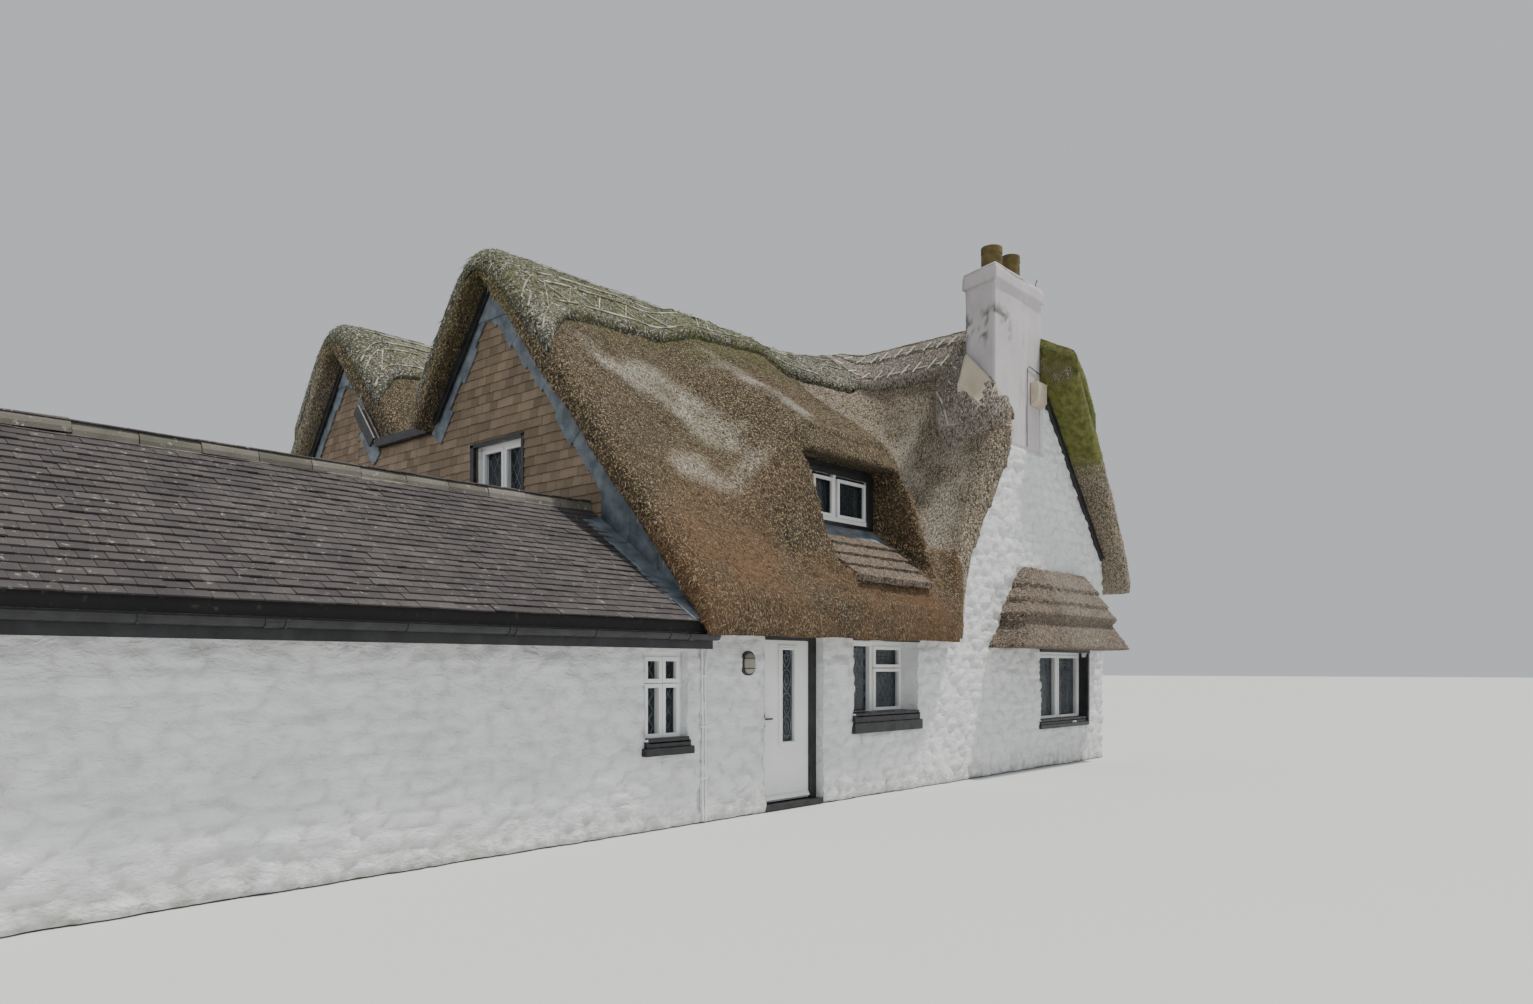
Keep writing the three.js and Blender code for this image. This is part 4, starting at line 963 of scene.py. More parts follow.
def stack_apron_rise(x, y):
    near = 0.46 * ease((x - 5.80) / 0.24) * ease((y + 0.36) / 0.46)
    swell = 0.10 + near * ease((STACK_APRON["back"] - y) / 0.35)
    natural = thatch_top(x, y)
    front = STACK_APRON["crest"] - 0.9 * clamp(x - 6.15)
    over = 0.07 * ease((0.16 - y) / 0.14)
    ceiling = np.where(y < -0.03, front, shoulder_top(x, y) - 0.015 + over) - natural
    swell = np.where((x > 5.9) & (y < 0.62), np.minimum(swell, ceiling), swell)
    wander = 0.008 * noise(xyz(x, y, x), 4.0, 84)
    return swell - STACK_APRON["step"] * ((natural + swell + wander) / STACK_APRON["course"] % 1)


# Painted shade: near 1 on the upper part of each course of the stack apron, just below the step of the course
# above.
def stack_apron_course_shade(points):
    share = (points[:, 2] + 0.008 * noise(points, 4.0, 84)) / STACK_APRON["course"] % 1
    return ease((share - 0.58) / 0.14)


def stack_apron():
    slab = roof_slab(stack_apron_place, 40, 30, stack_apron_rise, 0.25, 81)
    surface = reed_mesh("stack_apron_reed", slab, RIDGE_PALE, course_shade=stack_apron_course_shade)
    straws("stack_apron_ends", surface, 500, 0.04, 0.005, RIDGE_STRAW, 82, (0.05, 0.25), 1.2)
    rods = Pile()
    ys = np.arange(0.0, 1.0, 0.08)
    for offset in (0.07, 0.2, 0.33):
        x = follow(ys, STACK_APRON_LOW) + offset
        clear = ((x < 5.95) | (ys > 0.5))[:-1]
        rods.add(rods_on_roof(x, ys, stack_apron_rise(x, ys) + 0.02, clear))
    rods.piece("stack_apron_rods", RODS)


# Dormer apron: a lead sheet under the window, then courses of block cut reed
DORMER = {"x0": 2.2, "x1": 4.34, "y": 0.86, "sill": 3.47, "pitch": 0.72}
APRON_COURSES = {"top_y": 0.60, "low_y": -0.36, "count": 4, "left": (2.24, 2.42), "right": (4.30, 3.95)}


def below_sill(y):
    """Height of the slope below the dormer's sill."""
    return DORMER["sill"] - DORMER["pitch"] * (DORMER["y"] - y)


def dormer_apron():
    u, v = unit_grid(10, 40)
    top_y, low_y, count = (APRON_COURSES[key] for key in ("top_y", "low_y", "count"))
    y = lerp(DORMER["y"] - 0.004, top_y - 0.03, v)
    top = xyz(lerp(DORMER["x0"] + 0.01, DORMER["x1"] - 0.01, u), y, below_sill(y) + 0.022)
    top[..., 2] += noise(top, 5.0, 31) * 0.006
    make_piece("dormer_lead", *sheet_slab(top, top - 0.03 * UP), LEAD, smooth=True)
    top_z, low_z = below_sill(top_y) + 0.03, below_sill(low_y) + 0.055
    solids = Pile()
    u, v = unit_grid(9, 44)
    for k in range(count):
        s = lerp(k / count - (0.04 if k else 0), (k + 1) / count, v)
        x = lerp(lerp(*APRON_COURSES["left"], s), lerp(*APRON_COURSES["right"], s), u)
        y = lerp(top_y, low_y, s) + 0.006 * np.sin(x * 19 + k * 2)
        top = xyz(x, y, lerp(top_z, low_z, s) + 0.045 * v - 0.010)
        top[..., 2] += noise(top * np.array([2.2, 1, 1]), 12.0, 40 + k) * 0.010
        top[..., 1] -= noise(top, 21.0, 44 + k) * 0.009 * v ** 4
        solids.add(sheet_slab(top, top - np.array([0, -0.02, 0.075])))
    solids.piece("dormer_apron_reed", APRON, marks=weather_marks)


# Walls, with openings as (u0, u1, z0, z1) on their wall
class Facade:
    """Places (u, z, out) points of one outer wall face: u along it, out away from it."""

    def __init__(self, origin, along, out):
        self.origin, self.along, self.out = (np.array([*pair, 0.0]) for pair in (origin, along, out))
        self.mirrored = np.cross(self.along, UP) @ self.out < 0

    def at(self, u, z, out):
        u, z, out = (part[..., None] for part in np.broadcast_arrays(u, z, out))
        return self.origin + u * self.along + out * self.out + z * UP

    def bars(self, segments, out, width, thick):
        """Bars flat on the wall along ((u, z), (u, z)) segments."""
        ends = np.array(segments, float)
        a = self.at(ends[:, 0, 0], ends[:, 0, 1], out)
        b = self.at(ends[:, 1, 0], ends[:, 1, 1], out)
        return beams(a, b, self.out, width, thick)


STEP_Y = 6.9
FRONT = Facade((0, 0), (1, 0), (0, -1))
LEFT = Facade((0, 0), (0, 1), (-1, 0))
REAR_LEFT = Facade((REAR_SETBACK, 0), (0, 1), (-1, 0))
RIGHT = Facade((HOUSE_RIGHT, 0), (0, 1), (1, 0))
BACK = Facade((0, HOUSE_BACK), (1, 0), (0, 1))
STEP = Facade((0, STEP_Y), (1, 0), (0, 1))
WING = {
    "left": -6.3, "back": 3.44, "eave_z": 1.93, "ridge_z": 3.27, "eave_out": 0.25,
    "tiles": 0.09, "verge": 0.12,
}
WING_END = Facade((WING["left"], 0), (0, 1), (-1, 0))
WING_BACK = Facade((0, WING["back"]), (1, 0), (0, 1))
FRONT_DOORWAY = (1.0, 2.04, -1.0, 1.975)
FRONT_WINDOW = (2.66, 4.08, 0.975, 1.915)
CANOPY_WINDOW = (7.7, 9.45, 0.7, 1.84)
WING_WINDOW = (-0.76, -0.19, 0.84, 1.74)
GABLE_WINDOW = (2.94, 3.96, 3.48, 4.39)
STACK_GAP = (STACK["x0"] - 0.02, STACK["x1"] + 0.02, 4.97, 9.0)
PLAIN_HALF = 0.6
REAR_WINDOWS = [(middle - PLAIN_HALF, middle + PLAIN_HALF, 0.95, 2.0) for middle in (1.9, 4.7, 8.2)]
RIGHT_WINDOWS = [(middle - PLAIN_HALF, middle + PLAIN_HALF, 0.95, 2.0) for middle in (2.6, 7.7)]
STONE = {"wide": 0.34, "high": 0.155, "shift": 0.37, "joint": 0.35}
SKIN_DEPTH = 0.045


def inset(hole, margins):
    """An opening made smaller by one margin, or by one each for left, right, foot and head."""
    return tuple(np.array(hole) + np.array([1, -1, 1, -1]) * margins)


def rubble(u, z, seed):
    """Height of rough stones under many coats of limewash, and how far each point is a joint."""
    row = np.floor(z / STONE["high"])
    p = np.stack([u / STONE["wide"] + STONE["shift"] * row, z / STONE["high"]], -1)
    cell = np.floor(p)
    nearest = np.full(u.shape, 9.0)
    second = np.full(u.shape, 9.0)
    lift = np.zeros(u.shape)
    for step in itertools.product((-1, 0, 1), repeat=2):
        c = cell + np.array(step)
        key = xyz(c[..., 0], c[..., 1], seed) + 0.5
        jitter = np.stack([noise(key * 7.31, 1.0, 21), noise(key * 5.17, 1.0, 22)], -1)
        gap = p - (c + 0.5 + jitter * 0.45)
        distance = np.hypot(gap[..., 0], gap[..., 1])
        closer = distance < nearest
        second = np.where(closer, nearest, np.minimum(second, distance))
        lift = np.where(closer, noise(key * 3.77, 1.0, 23), lift)
        nearest = np.where(closer, distance, nearest)
    joint = clamp((second - nearest) / STONE["joint"])
    flat = xyz(u, z, seed)
    creases = np.abs(noise(flat * np.array([0.6, 2.2, 1.0]), 5.0, 26))
    stones = joint ** 0.6 * (0.018 + 0.014 * lift) + 0.009 * noise(flat, 1.5, 24)
    stones = stones + 0.006 * noise(flat, 13.0, 25)
    return np.maximum(0.004, 0.010 + stones - 0.014 * (1 - creases) ** 6), (1 - joint) ** 1.5


def marks_along(low, high, stops, step):
    """Grid lines from low to high that pass through every stop."""
    edges = sorted({low, high, *[s for s in stops if low < s < high]})
    lines = []
    for a, b in zip(edges[:-1], edges[1:]):
        count = max(1, round((b - a) / step))
        lines.extend(np.linspace(a, b, count, endpoint=False))
    return np.array([*lines, high])


def wall_face(name, facade, area, holes=(), under=None, step=0.08, seed=1, strength=1.0):
    """A closed skin of rubble on an area of wall, open at its holes and only below under(u)."""
    u, z = np.meshgrid(
        marks_along(*area[:2], [edge for hole in holes for edge in hole[:2]], step),
        marks_along(*area[2:], [edge for hole in holes for edge in hole[2:]], step),
    )
    out, joint = rubble(u, z, seed)
    middle_u = (u[:-1, :-1] + u[1:, 1:]) / 2
    middle_z = (z[:-1, :-1] + z[1:, 1:]) / 2
    keep = np.ones(middle_u.shape, bool)
    for u0, u1, z0, z1 in holes:
        keep &= ~((middle_u > u0) & (middle_u < u1) & (middle_z > z0) & (middle_z < z1))
    if under:
        keep &= middle_z < under(middle_u)
    index = np.arange(u.size).reshape(u.shape)
    quads = grid_quads(index)[keep]
    edges = np.concatenate([quads[:, [k, (k + 1) % 4]] for k in range(4)])
    keys = {(a, b) for a, b in edges.tolist()}
    rim = np.array([(a, b) for a, b in keys if (b, a) not in keys])
    rim = rim[np.lexsort((rim[:, 1], rim[:, 0]))]
    shift = np.zeros(u.shape)
    shift.reshape(-1)[np.unique(rim)] = 1
    shift[:, 0] = shift[:, -1] = shift[0] = 0
    sway = noise(xyz(u, z, seed), 6.0, 27) * 0.009 * shift
    layers = [facade.at(u + sway, z + sway * 0.6, depth) for depth in (out * strength, -SKIN_DEPTH)]
    verts = np.concatenate(layers).reshape(-1, 3)
    sides = np.stack([rim[:, 1], rim[:, 0], rim[:, 0] + u.size, rim[:, 1] + u.size], -1)
    faces = np.concatenate([quads, quads[:, ::-1] + u.size, sides])
    used, compact = np.unique(faces, return_inverse=True)
    faces = compact.reshape(faces.shape)
    if facade.mirrored:
        faces = faces[:, ::-1]
    joint = np.tile(joint.reshape(-1), 2)[used]
    return make_piece(name, verts[used], faces, LIMEWASH, smooth=len(quads), marks={"joint": joint})


def under_cross(x):
    """Underside of the cross wing's thatch at its gables."""
    left = 2.94 + 2.1 * (x - 5.35)
    right = CROSS["under_z"] - CROSS["right"] * (x - CROSS["ridge"])
    return np.minimum(left, right) + 0.07


def under_front(x):
    return np.where(x < GABLE_LEFT, 2.28, under_cross(x))


def under_back(x):
    return np.maximum(under_cross(x), 3.0)


def walls():
    wall_face(
        "front_rubble", FRONT, (0.0, HOUSE_RIGHT, 0.0, 6.1),
        [FRONT_DOORWAY, FRONT_WINDOW, CANOPY_WINDOW, STACK_GAP], under_front, 0.042, 1, 1.5,
    )
    wall_face(
        "wing_front_rubble", FRONT, (WING["left"], 0.0, 0.0, 2.02), [WING_WINDOW],
        step=0.042, seed=4, strength=1.35,
    )
    wall_face("wing_end_rubble", WING_END, (0.0, WING["back"], 0.0, 3.3), (), wing_roof_z, 0.075, 5)
    wall_face("wing_back_rubble", WING_BACK, (WING["left"], 0.0, 0.0, 2.02), seed=6)
    wall_face("right_rubble", RIGHT, (0.0, HOUSE_BACK, 0.0, 3.5), RIGHT_WINDOWS, step=0.10, seed=7)
    area = (REAR_SETBACK, HOUSE_RIGHT, 0.0, 6.9)
    wall_face("rear_rubble", BACK, area, REAR_WINDOWS, under_back, 0.10, 8)
    wall_face("left_rubble", LEFT, (WING["back"], STEP_Y, 0.0, 1.92), seed=9)
    wall_face("rear_left_rubble", REAR_LEFT, (STEP_Y, HOUSE_BACK, 0.0, 1.92), seed=10)

# Wing roof
WING_MIDDLE = WING["back"] / 2
WING_HALF = WING_MIDDLE + WING["eave_out"]
WING_SLOPE = (WING["ridge_z"] - WING["eave_z"]) / WING_HALF
WING_RUN = math.hypot(1, WING_SLOPE)
ABUTMENT_X = -0.056
TILE = {"width": 0.165, "gauge": 0.1035, "length": 0.155, "thick": 0.012, "hung_gauge": 0.114, "gap": 0.0035}
RIDGE_TILES = {"pitch": 0.455, "gap": 0.006, "radius": 0.118, "thick": 0.016}


def wing_roof_z(y):
    """Underside of the wing's roof over a point across it."""
    return WING["ridge_z"] - WING_SLOPE * np.abs(y - WING_MIDDLE)


def tile_course(centres, up, normal, rng):
    """Tiles with a little of their own tilt, lower edges lifted on the course below."""
    count = len(centres)
    tilt = 0.115 + rng.normal(0, 0.012, count)[:, None]
    skew = rng.normal(0, 0.010, count)[:, None]
    rise = unit(up - normal * tilt + np.array([1.0, 0, 0]) * skew)
    half = rise * TILE["length"] / 2
    lift = normal * (0.013 + rng.normal(0, 0.0016, count)[:, None])
    width = TILE["width"] - TILE["gap"]
    return beams(centres - half + lift, centres + half + lift, normal, width, TILE["thick"])


def wing_tiles():
    rng = np.random.default_rng(12)
    x0, x1 = WING["left"] - WING["verge"], -0.052
    courses = int(WING_HALF * WING_RUN / TILE["gauge"]) + 1
    for name, side in (("wing_tiles_front", -1), ("wing_tiles_back", 1)):
        up = unit(np.array([0, -side, WING_SLOPE]))
        normal = unit(np.array([0, side * WING_SLOPE, 1.0]))
        eave = np.array([0, WING_MIDDLE + side * WING_HALF, WING["eave_z"] + WING["tiles"] * WING_RUN])
        tiles = Pile()
        for k in range(courses):
            offset = TILE["width"] / 2 * (k % 2)
            xs = np.arange(x0 + TILE["width"] / 2 - offset, x1, TILE["width"])
            xs = clamp(xs, x0 + TILE["width"] / 2, x1 - TILE["width"] / 2)
            along = (k + 0.42) * TILE["gauge"] + rng.normal(0, 0.002, len(xs))
            centres = eave + along[:, None] * up
            centres[:, 0] = xs
            sag = 0.010 * noise(centres, 0.7, 61) + 0.004 * noise(centres, 2.5, 62)
            centres += normal * (sag + 0.004)[:, None]
            tone = clamp(0.5 + 0.28 * rng.standard_normal(len(xs)) + 0.25 * noise(centres, 0.9, 63))
            tiles.add(tile_course(centres, up, normal, rng), np.repeat(tone, 8))
        tiles.piece(name, ROOF_TILE, toned=True)


def strip(points, normal, width, thick):
    """A flat strip through points."""
    return beams(points[:-1], points[1:], normal, width, thick)


def lathe(profile, sides, centre):
    """A closed turned solid from (radius, z) points."""
    turn = np.arange(sides) * 2 * math.pi / sides
    x, y = np.cos(turn), np.sin(turn)
    rings = [xyz(centre[0] + radius * x, centre[1] + radius * y, centre[2] + z) for radius, z in profile]
    return np.concatenate(rings), ring_faces(len(profile), sides)


def tube(points, radius, sides=8):
    """A closed round bar through points."""
    points = np.asarray(points, float)
    along = unit(np.gradient(points, axis=0))
    guide = UP if abs(along[0][2]) < 0.9 else np.array([1.0, 0.0, 0.0])
    turn = np.arange(sides)[:, None] * 2 * math.pi / sides
    rings = []
    for point, direction in zip(points, along):
        side = unit(np.cross(direction, guide))
        up = np.cross(side, direction)
        rings.append(point + radius * (np.cos(turn) * side + np.sin(turn) * up))
    *sleeve, foot, head = ring_faces(len(points), sides)
    faces = [[a, d, c, b] for a, b, c, d in sleeve]
    return np.concatenate(rings), [*faces, foot[::-1], head[::-1]]


def half_round(x0, x1, y, z, tilt):
    """One half round ridge tile along X."""
    turn = np.linspace(-0.12, math.pi + 0.12, 11)
    radius, inside = RIDGE_TILES["radius"], RIDGE_TILES["radius"] - RIDGE_TILES["thick"]
    outer = [(y + radius * math.cos(a), z + radius * math.sin(a)) for a in turn]
    inner = [(y + inside * math.cos(a), z + inside * math.sin(a)) for a in turn[::-1]]
    ring = outer + inner
    count = len(ring)
    verts = [(x0, a, b) for a, b in ring] + [(x1, a, b + tilt) for a, b in ring]
    faces = [[k, k + count, (k + 1) % count + count, (k + 1) % count] for k in range(count)]
    for k in range(len(outer) - 1):
        faces.append([k, k + 1, count - 2 - k, count - 1 - k])
        faces.append([count + count - 1 - k, count + count - 2 - k, count + k + 1, count + k])
    return np.array(verts), faces


def wing_ridge():
    rng = np.random.default_rng(14)
    low, high = node_box("wing_ridge_tiles")
    tiles, mortar = Pile(), Pile()
    for x in np.arange(low[0], high[0] - 0.05, RIDGE_TILES["pitch"]):
        end = min(x + RIDGE_TILES["pitch"] - RIDGE_TILES["gap"], high[0])
        z = low[2] + 0.03 + rng.normal(0, 0.004)
        solid = half_round(x, end, WING_MIDDLE + rng.normal(0, 0.003), z, rng.normal(0, 0.004))
        tiles.add(solid, clamp(0.5 + 0.3 * rng.standard_normal()))
    tiles.piece("wing_ridge_courses", RIDGE_TILE, toned=True, replaces=("wing_ridge_tiles",))
    for side in (-1, 1):
        xs = np.arange(low[0] + 0.005, high[0], 0.06)
        wave = noise(xyz(xs, 0, side), 4.0, 65) * 0.008
        zs = WING["ridge_z"] - WING_SLOPE * 0.11 + WING["tiles"] * WING_RUN + 0.012 + wave
        mortar.add(tube(xyz(xs, WING_MIDDLE + side * (0.108 + wave), zs), 0.024, 6))
    mortar.piece("wing_ridge_mortar", MORTAR, smooth=True)


def gutter_strap(x, y, z, radius, width, thick):
    turn = np.linspace(math.pi, 2 * math.pi, 9)
    return strip(xyz(x, y + radius * np.cos(turn), z + radius * np.sin(turn)), (1.0, 0, 0), width, thick)


def wing_gutter_fittings():
    low, high = node_box("wing_gutter")
    y = (low[1] + high[1]) / 2
    straps = Pile()
    for x in np.arange(low[0] + 0.3, high[0], 0.9):
        straps.add(gutter_strap(x, y, high[2] + 0.002, 0.062, 0.005, 0.028))
    for x in np.arange(low[0] + 2.0, high[0], 2.0):
        straps.add(gutter_strap(x, y, high[2], 0.061, 0.006, 0.10))
    straps.piece("wing_gutter_brackets", BLACK)


# Tile hanging
VALLEY_HEAD = 4.715
HUNG = {"low": 1.95, "high": 6.5, "step_high": 5.30, "foot_out": 0.074, "head_out": 0.053, "thick": 0.013}
HUNG_LAP = 0.03
HUNG_JOINT = 0.0015
LEAST_TILE = 0.008
WINDOW_LAP = 0.02


def clip(polygon, a, b, c):
    """The part of a polygon of (u, z) points where a u + b z <= c."""
    kept = []
    for (u0, z0), (u1, z1) in zip(polygon, polygon[1:] + polygon[:1]):
        d0, d1 = a * u0 + b * z0 - c, a * u1 + b * z1 - c
        if d0 <= 0:
            kept.append((u0, z0))
        if d0 * d1 < 0:
            share = d0 / (d0 - d1)
            kept.append((u0 + (u1 - u0) * share, z0 + (z1 - z0) * share))
    return kept


def prism_on(facade, polygon, out_low, out_high, thick):
    """A flat plate from a (u, z) outline that leans out by its height within the outline."""
    us, zs = np.array(polygon).T
    share = (zs - zs.min()) / max(1e-6, zs.max() - zs.min())
    out = lerp(out_low, out_high, share)
    count = len(polygon)
    faces = [list(range(count)), list(range(count, 2 * count))[::-1]]
    for k in range(count):
        n = (k + 1) % count
        faces.append([n, k, k + count, n + count])
    if facade.mirrored:
        faces = [face[::-1] for face in faces]
    return np.concatenate([facade.at(us, zs, out), facade.at(us, zs, out - thick)]), faces


def gable_edge(section, y):
    """Underside of the thatch at a gable, over a point across it."""
    return section["under_z"] - section["under_pitch"] * np.abs(y - section["ridge"])


def edge_at(section, side, z):
    """Where a gable's slope on one side passes a height."""
    return section["ridge"] + side * (section["under_z"] - z) / section["under_pitch"]


def slope_lines(section, sides=(-1, 1)):
    """Clip lines (a, b, c), where a u + b z <= c, under a gable's slopes."""
    pitch, ridge, peak = section["under_pitch"], section["ridge"], section["under_z"]
    return [(side * pitch, 1, peak + side * pitch * ridge) for side in sides]


def main_face_lines(u):
    if u < edge_at(MAIN, 1, VALLEY_HEAD):
        lines = slope_lines(MAIN)
    elif u < edge_at(REAR, -1, VALLEY_HEAD):
        lines = [(0, 1, VALLEY_HEAD)]
    else:
        lines = slope_lines(REAR, (-1,))
    back = 1 if u > WING_MIDDLE else -1
    roof = WING["ridge_z"] + 0.10 + back * WING_SLOPE * WING_MIDDLE
    return [*lines, (-back * WING_SLOPE, -1, -roof)]


def rear_face_lines(_):
    return slope_lines(REAR)


def step_face_lines(_):
    return [(0, 1, HUNG["step_high"])]


def hole_lines(hole, u, z):
    """Clip lines for the tile at (u, z) beside a window, or None where the window takes it whole."""
    if not hole:
        return []
    u0, u1, z0, z1 = hole
    right, head = u + TILE["width"], z + TILE["hung_gauge"]
    low, high = z0 - WINDOW_LAP, z1 + WINDOW_LAP
    if head < low or z > high or right < u0 or u > u1:
        return []
    if u < u0:
        return [(1, 0, u0)]
    if right > u1:
        return [(-1, 0, -u1)]
    if z < low:
        return [(0, 1, z0)]
    if head > high:
        return [(0, -1, -z1)]
    return None


def hung_tiles(name, facade, area, lines_at, hole=None):
    rng = np.random.default_rng(15)
    u_low, u_high, z_low, z_high = area
    tiles = Pile()
    ends = [(-1, 0, -u_low), (1, 0, u_high)]
    for k in range(int((z_high - z_low) / TILE["hung_gauge"]) + 1):
        z0 = z_low + k * TILE["hung_gauge"]
        for u0 in np.arange(u_low - TILE["width"] * (1 + 0.5 * (k % 2)), u_high, TILE["width"]):
            drop, lean = rng.normal(0, 0.0022), rng.normal(0, 0.0015)
            tone = clamp(0.5 + 0.30 * rng.standard_normal())
            cut = hole_lines(hole, u0, z0)
            if cut is None:
                continue
            left, right = u0 + HUNG_JOINT, u0 + TILE["width"] - HUNG_JOINT
            low, high = z0 + drop, z0 + TILE["hung_gauge"] + HUNG_LAP
            polygon = [(left, low), (right, low), (right, high), (left, high)]
            for line in [*ends, *lines_at(u0 + TILE["width"] / 2), *cut]:
                polygon = clip(polygon, *line)
            if len(polygon) > 2 and min(np.ptp(polygon, axis=0)) >= LEAST_TILE:
                foot_out = HUNG["foot_out"] + lean
                tiles.add(prism_on(facade, polygon, foot_out, HUNG["head_out"], HUNG["thick"]), tone)
    tiles.piece(name, HUNG_TILE, toned=True)


def tile_hanging():
    main = (0.06, STEP_Y + 0.07, HUNG["low"], HUNG["high"])
    rear = (STEP_Y + 0.07, 10.75, HUNG["low"], HUNG["high"])
    step = (-0.07, REAR_SETBACK, HUNG["low"], HUNG["step_high"])
    hung_tiles("gable_tile_courses", LEFT, main, main_face_lines, GABLE_WINDOW)
    hung_tiles("rear_gable_tile_courses", REAR_LEFT, rear, rear_face_lines)
    hung_tiles("step_tile_courses", STEP, step, step_face_lines)


# Lead, boards and trims
VALLEY = {"y0": 4.95, "y1": 6.31, "top": 4.835}
CAP = {"half": 0.48, "over": 0.06, "out": 0.115, "thick": 0.06}
PEAK_DROP = 0.02
LEAD_RUNS = [
    (LEFT, MAIN, -1, 3.55, 6.5, 0.36, 0.45), (LEFT, MAIN, 1, 4.85, 6.5, 0.22, 0.45),
    (REAR_LEFT, REAR, -1, 5.3, 6.5, 0.34, 0.45), (LEFT, REAR, -1, 4.72, 5.2, 0.24, 0.30),
    (REAR_LEFT, REAR, 1, 2.6, 6.5, 0.22, 0.45),
]
BOARD_RUNS = [
    (LEFT, MAIN, 1, 6.42, 4.85), (REAR_LEFT, REAR, -1, 6.47, 5.35), (LEFT, REAR, -1, 5.35, 4.80),
    (REAR_LEFT, REAR, 1, 6.47, 2.6),
]
# Painted shade: a black board under the front gable's right slope, where the thatch soffit lies in shade.
RIGHT_SOFFIT_SHADE = [(7.79, 6.02), (8.6, 5.14), (9.4, 4.27), (10.1, 3.52)]
SHEET_BREAKS = [WING_MIDDLE - 0.30, 0.95, 0.50, 0.02, -0.27]
PANEL_BREAKS = [1.42, 0.98, 0.53, 0.06]


def stepped_lead(facade, section, side, z_low, z_high, width, length, rng):
    """Overlapping lead pieces along the slope of a gable."""
    pitch = section["under_pitch"]
    run = math.hypot(1, pitch)
    along = np.array([side / run, -pitch / run])
    inward = np.array([-pitch / run * side, -1 / run])
    start = section["under_z"] - PEAK_DROP
    for k in range(int((start - z_low) / (length * pitch / run)) + 1):
        z0 = start - k * length * pitch / run
        if z0 > z_high or z0 < z_low + 0.1:
            continue
        a = np.array([edge_at(section, side, z0), z0]) - along * 0.03
        b = a + along * (length + 0.03)
        wide = inward * (width * (1 + 0.10 * rng.standard_normal()))
        lift = 0.088 + 0.006 * (k % 2)
        verts, faces = prism_on(facade, [a, b, b + wide * 1.04, a + wide * 0.96], lift, lift, 0.016)
        yield verts, faces if side > 0 else [face[::-1] for face in faces]


def gable_lead():
    rng = np.random.default_rng(17)
    lead = Pile()
    for run in LEAD_RUNS:
        for solid in stepped_lead(*run, rng):
            lead.add(solid)
    for facade, section in ((LEFT, MAIN), (REAR_LEFT, REAR)):
        ridge, half = section["ridge"], CAP["half"]
        peak = section["under_z"] - PEAK_DROP + CAP["over"]
        foot = peak - half * section["under_pitch"]
        cap = [(ridge - half, foot), (ridge + half, foot), (ridge, peak)]
        lead.add(prism_on(facade, cap, CAP["out"], CAP["out"], CAP["thick"]))
    for x in np.arange(0.5, 6.1, 0.62):
        ends = [(x, VALLEY["y0"] + 0.05, VALLEY["top"]), (x, VALLEY["y1"] - 0.05, VALLEY["top"])]
        lead.add(tube(ends, 0.022))
    lead.piece("gable_lead", LEAD)


def abutment_lead():
    """Lead sheets on the wing's tiles, and upright panels between them and the thatch."""
    sheets = Pile()
    lift = WING["tiles"] * WING_RUN + 0.040
    u, v = unit_grid(9, 9)
    for k, (y1, y0) in enumerate(zip(SHEET_BREAKS[:-1], SHEET_BREAKS[1:])):
        y = lerp(y1 + 0.03, y0, v)
        wide = 0.30 + 0.03 * noise([k * 3.3, 0.5, 0.5], 1.0, 88)
        z = wing_roof_z(y) + lift + 0.006 * (k % 2) + 0.035 * u * u
        top = xyz(lerp(ABUTMENT_X - wide, ABUTMENT_X, u), y, z)
        top[..., 2] += 0.006 * noise(top, 7.0, 89)
        verts, faces = sheet_slab(top, top - 0.012 * UP)
        sheets.add((verts, faces[:, ::-1]))
    for k, (y1, y0) in enumerate(zip(PANEL_BREAKS[:-1], PANEL_BREAKS[1:])):
        ys = np.array([y0 - 0.02, y1])
        foot = wing_roof_z(ys) + lift - 0.02
        head = np.maximum(gable_edge(MAIN, ys) + 0.02, foot + 0.05)
        polygon = [*zip(ys, foot), *zip(ys[::-1], head[::-1])]
        sheets.add(prism_on(LEFT, polygon, 0.100 + 0.005 * (k % 2), 0.092, 0.014))
    sheets.piece("abutment_lead", LEAD, smooth=True)


def boards():
    slopes = Pile()
    for facade, section, side, top, low in BOARD_RUNS:
        ends = (edge_at(section, side, top), top), (edge_at(section, side, low), low)
        slopes.add(facade.bars([ends], 0.14, 0.17, 0.032))
    slopes.piece("gable_boards", BLACK, bevel=0.004)
    # The black board on the front gable's right slope is painted shade for the soffit above it.
    right = Pile()
    for ends in zip(RIGHT_SOFFIT_SHADE[:-1], RIGHT_SOFFIT_SHADE[1:]):
        right.add(FRONT.bars([ends], 0.055, 0.16, 0.05))
    right.piece("gable_right_soffit_shade", BLACK, bevel=0.004)
    lintel = Pile()
    lintel.add(FRONT.bars([((1.0, 2.03), (2.06, 2.03))], 0.052, 0.12, 0.03))
    lintel.add(FRONT.bars([((2.62, 1.972), (4.12, 1.972))], 0.035, 0.11, 0.03))
    lintel.piece("door_lintel", BLACK, bevel=0.004)


# Windows
SASH_WIDTH = 0.042
LEADING = {"width": 0.008, "thick": 0.004, "least": 0.03}


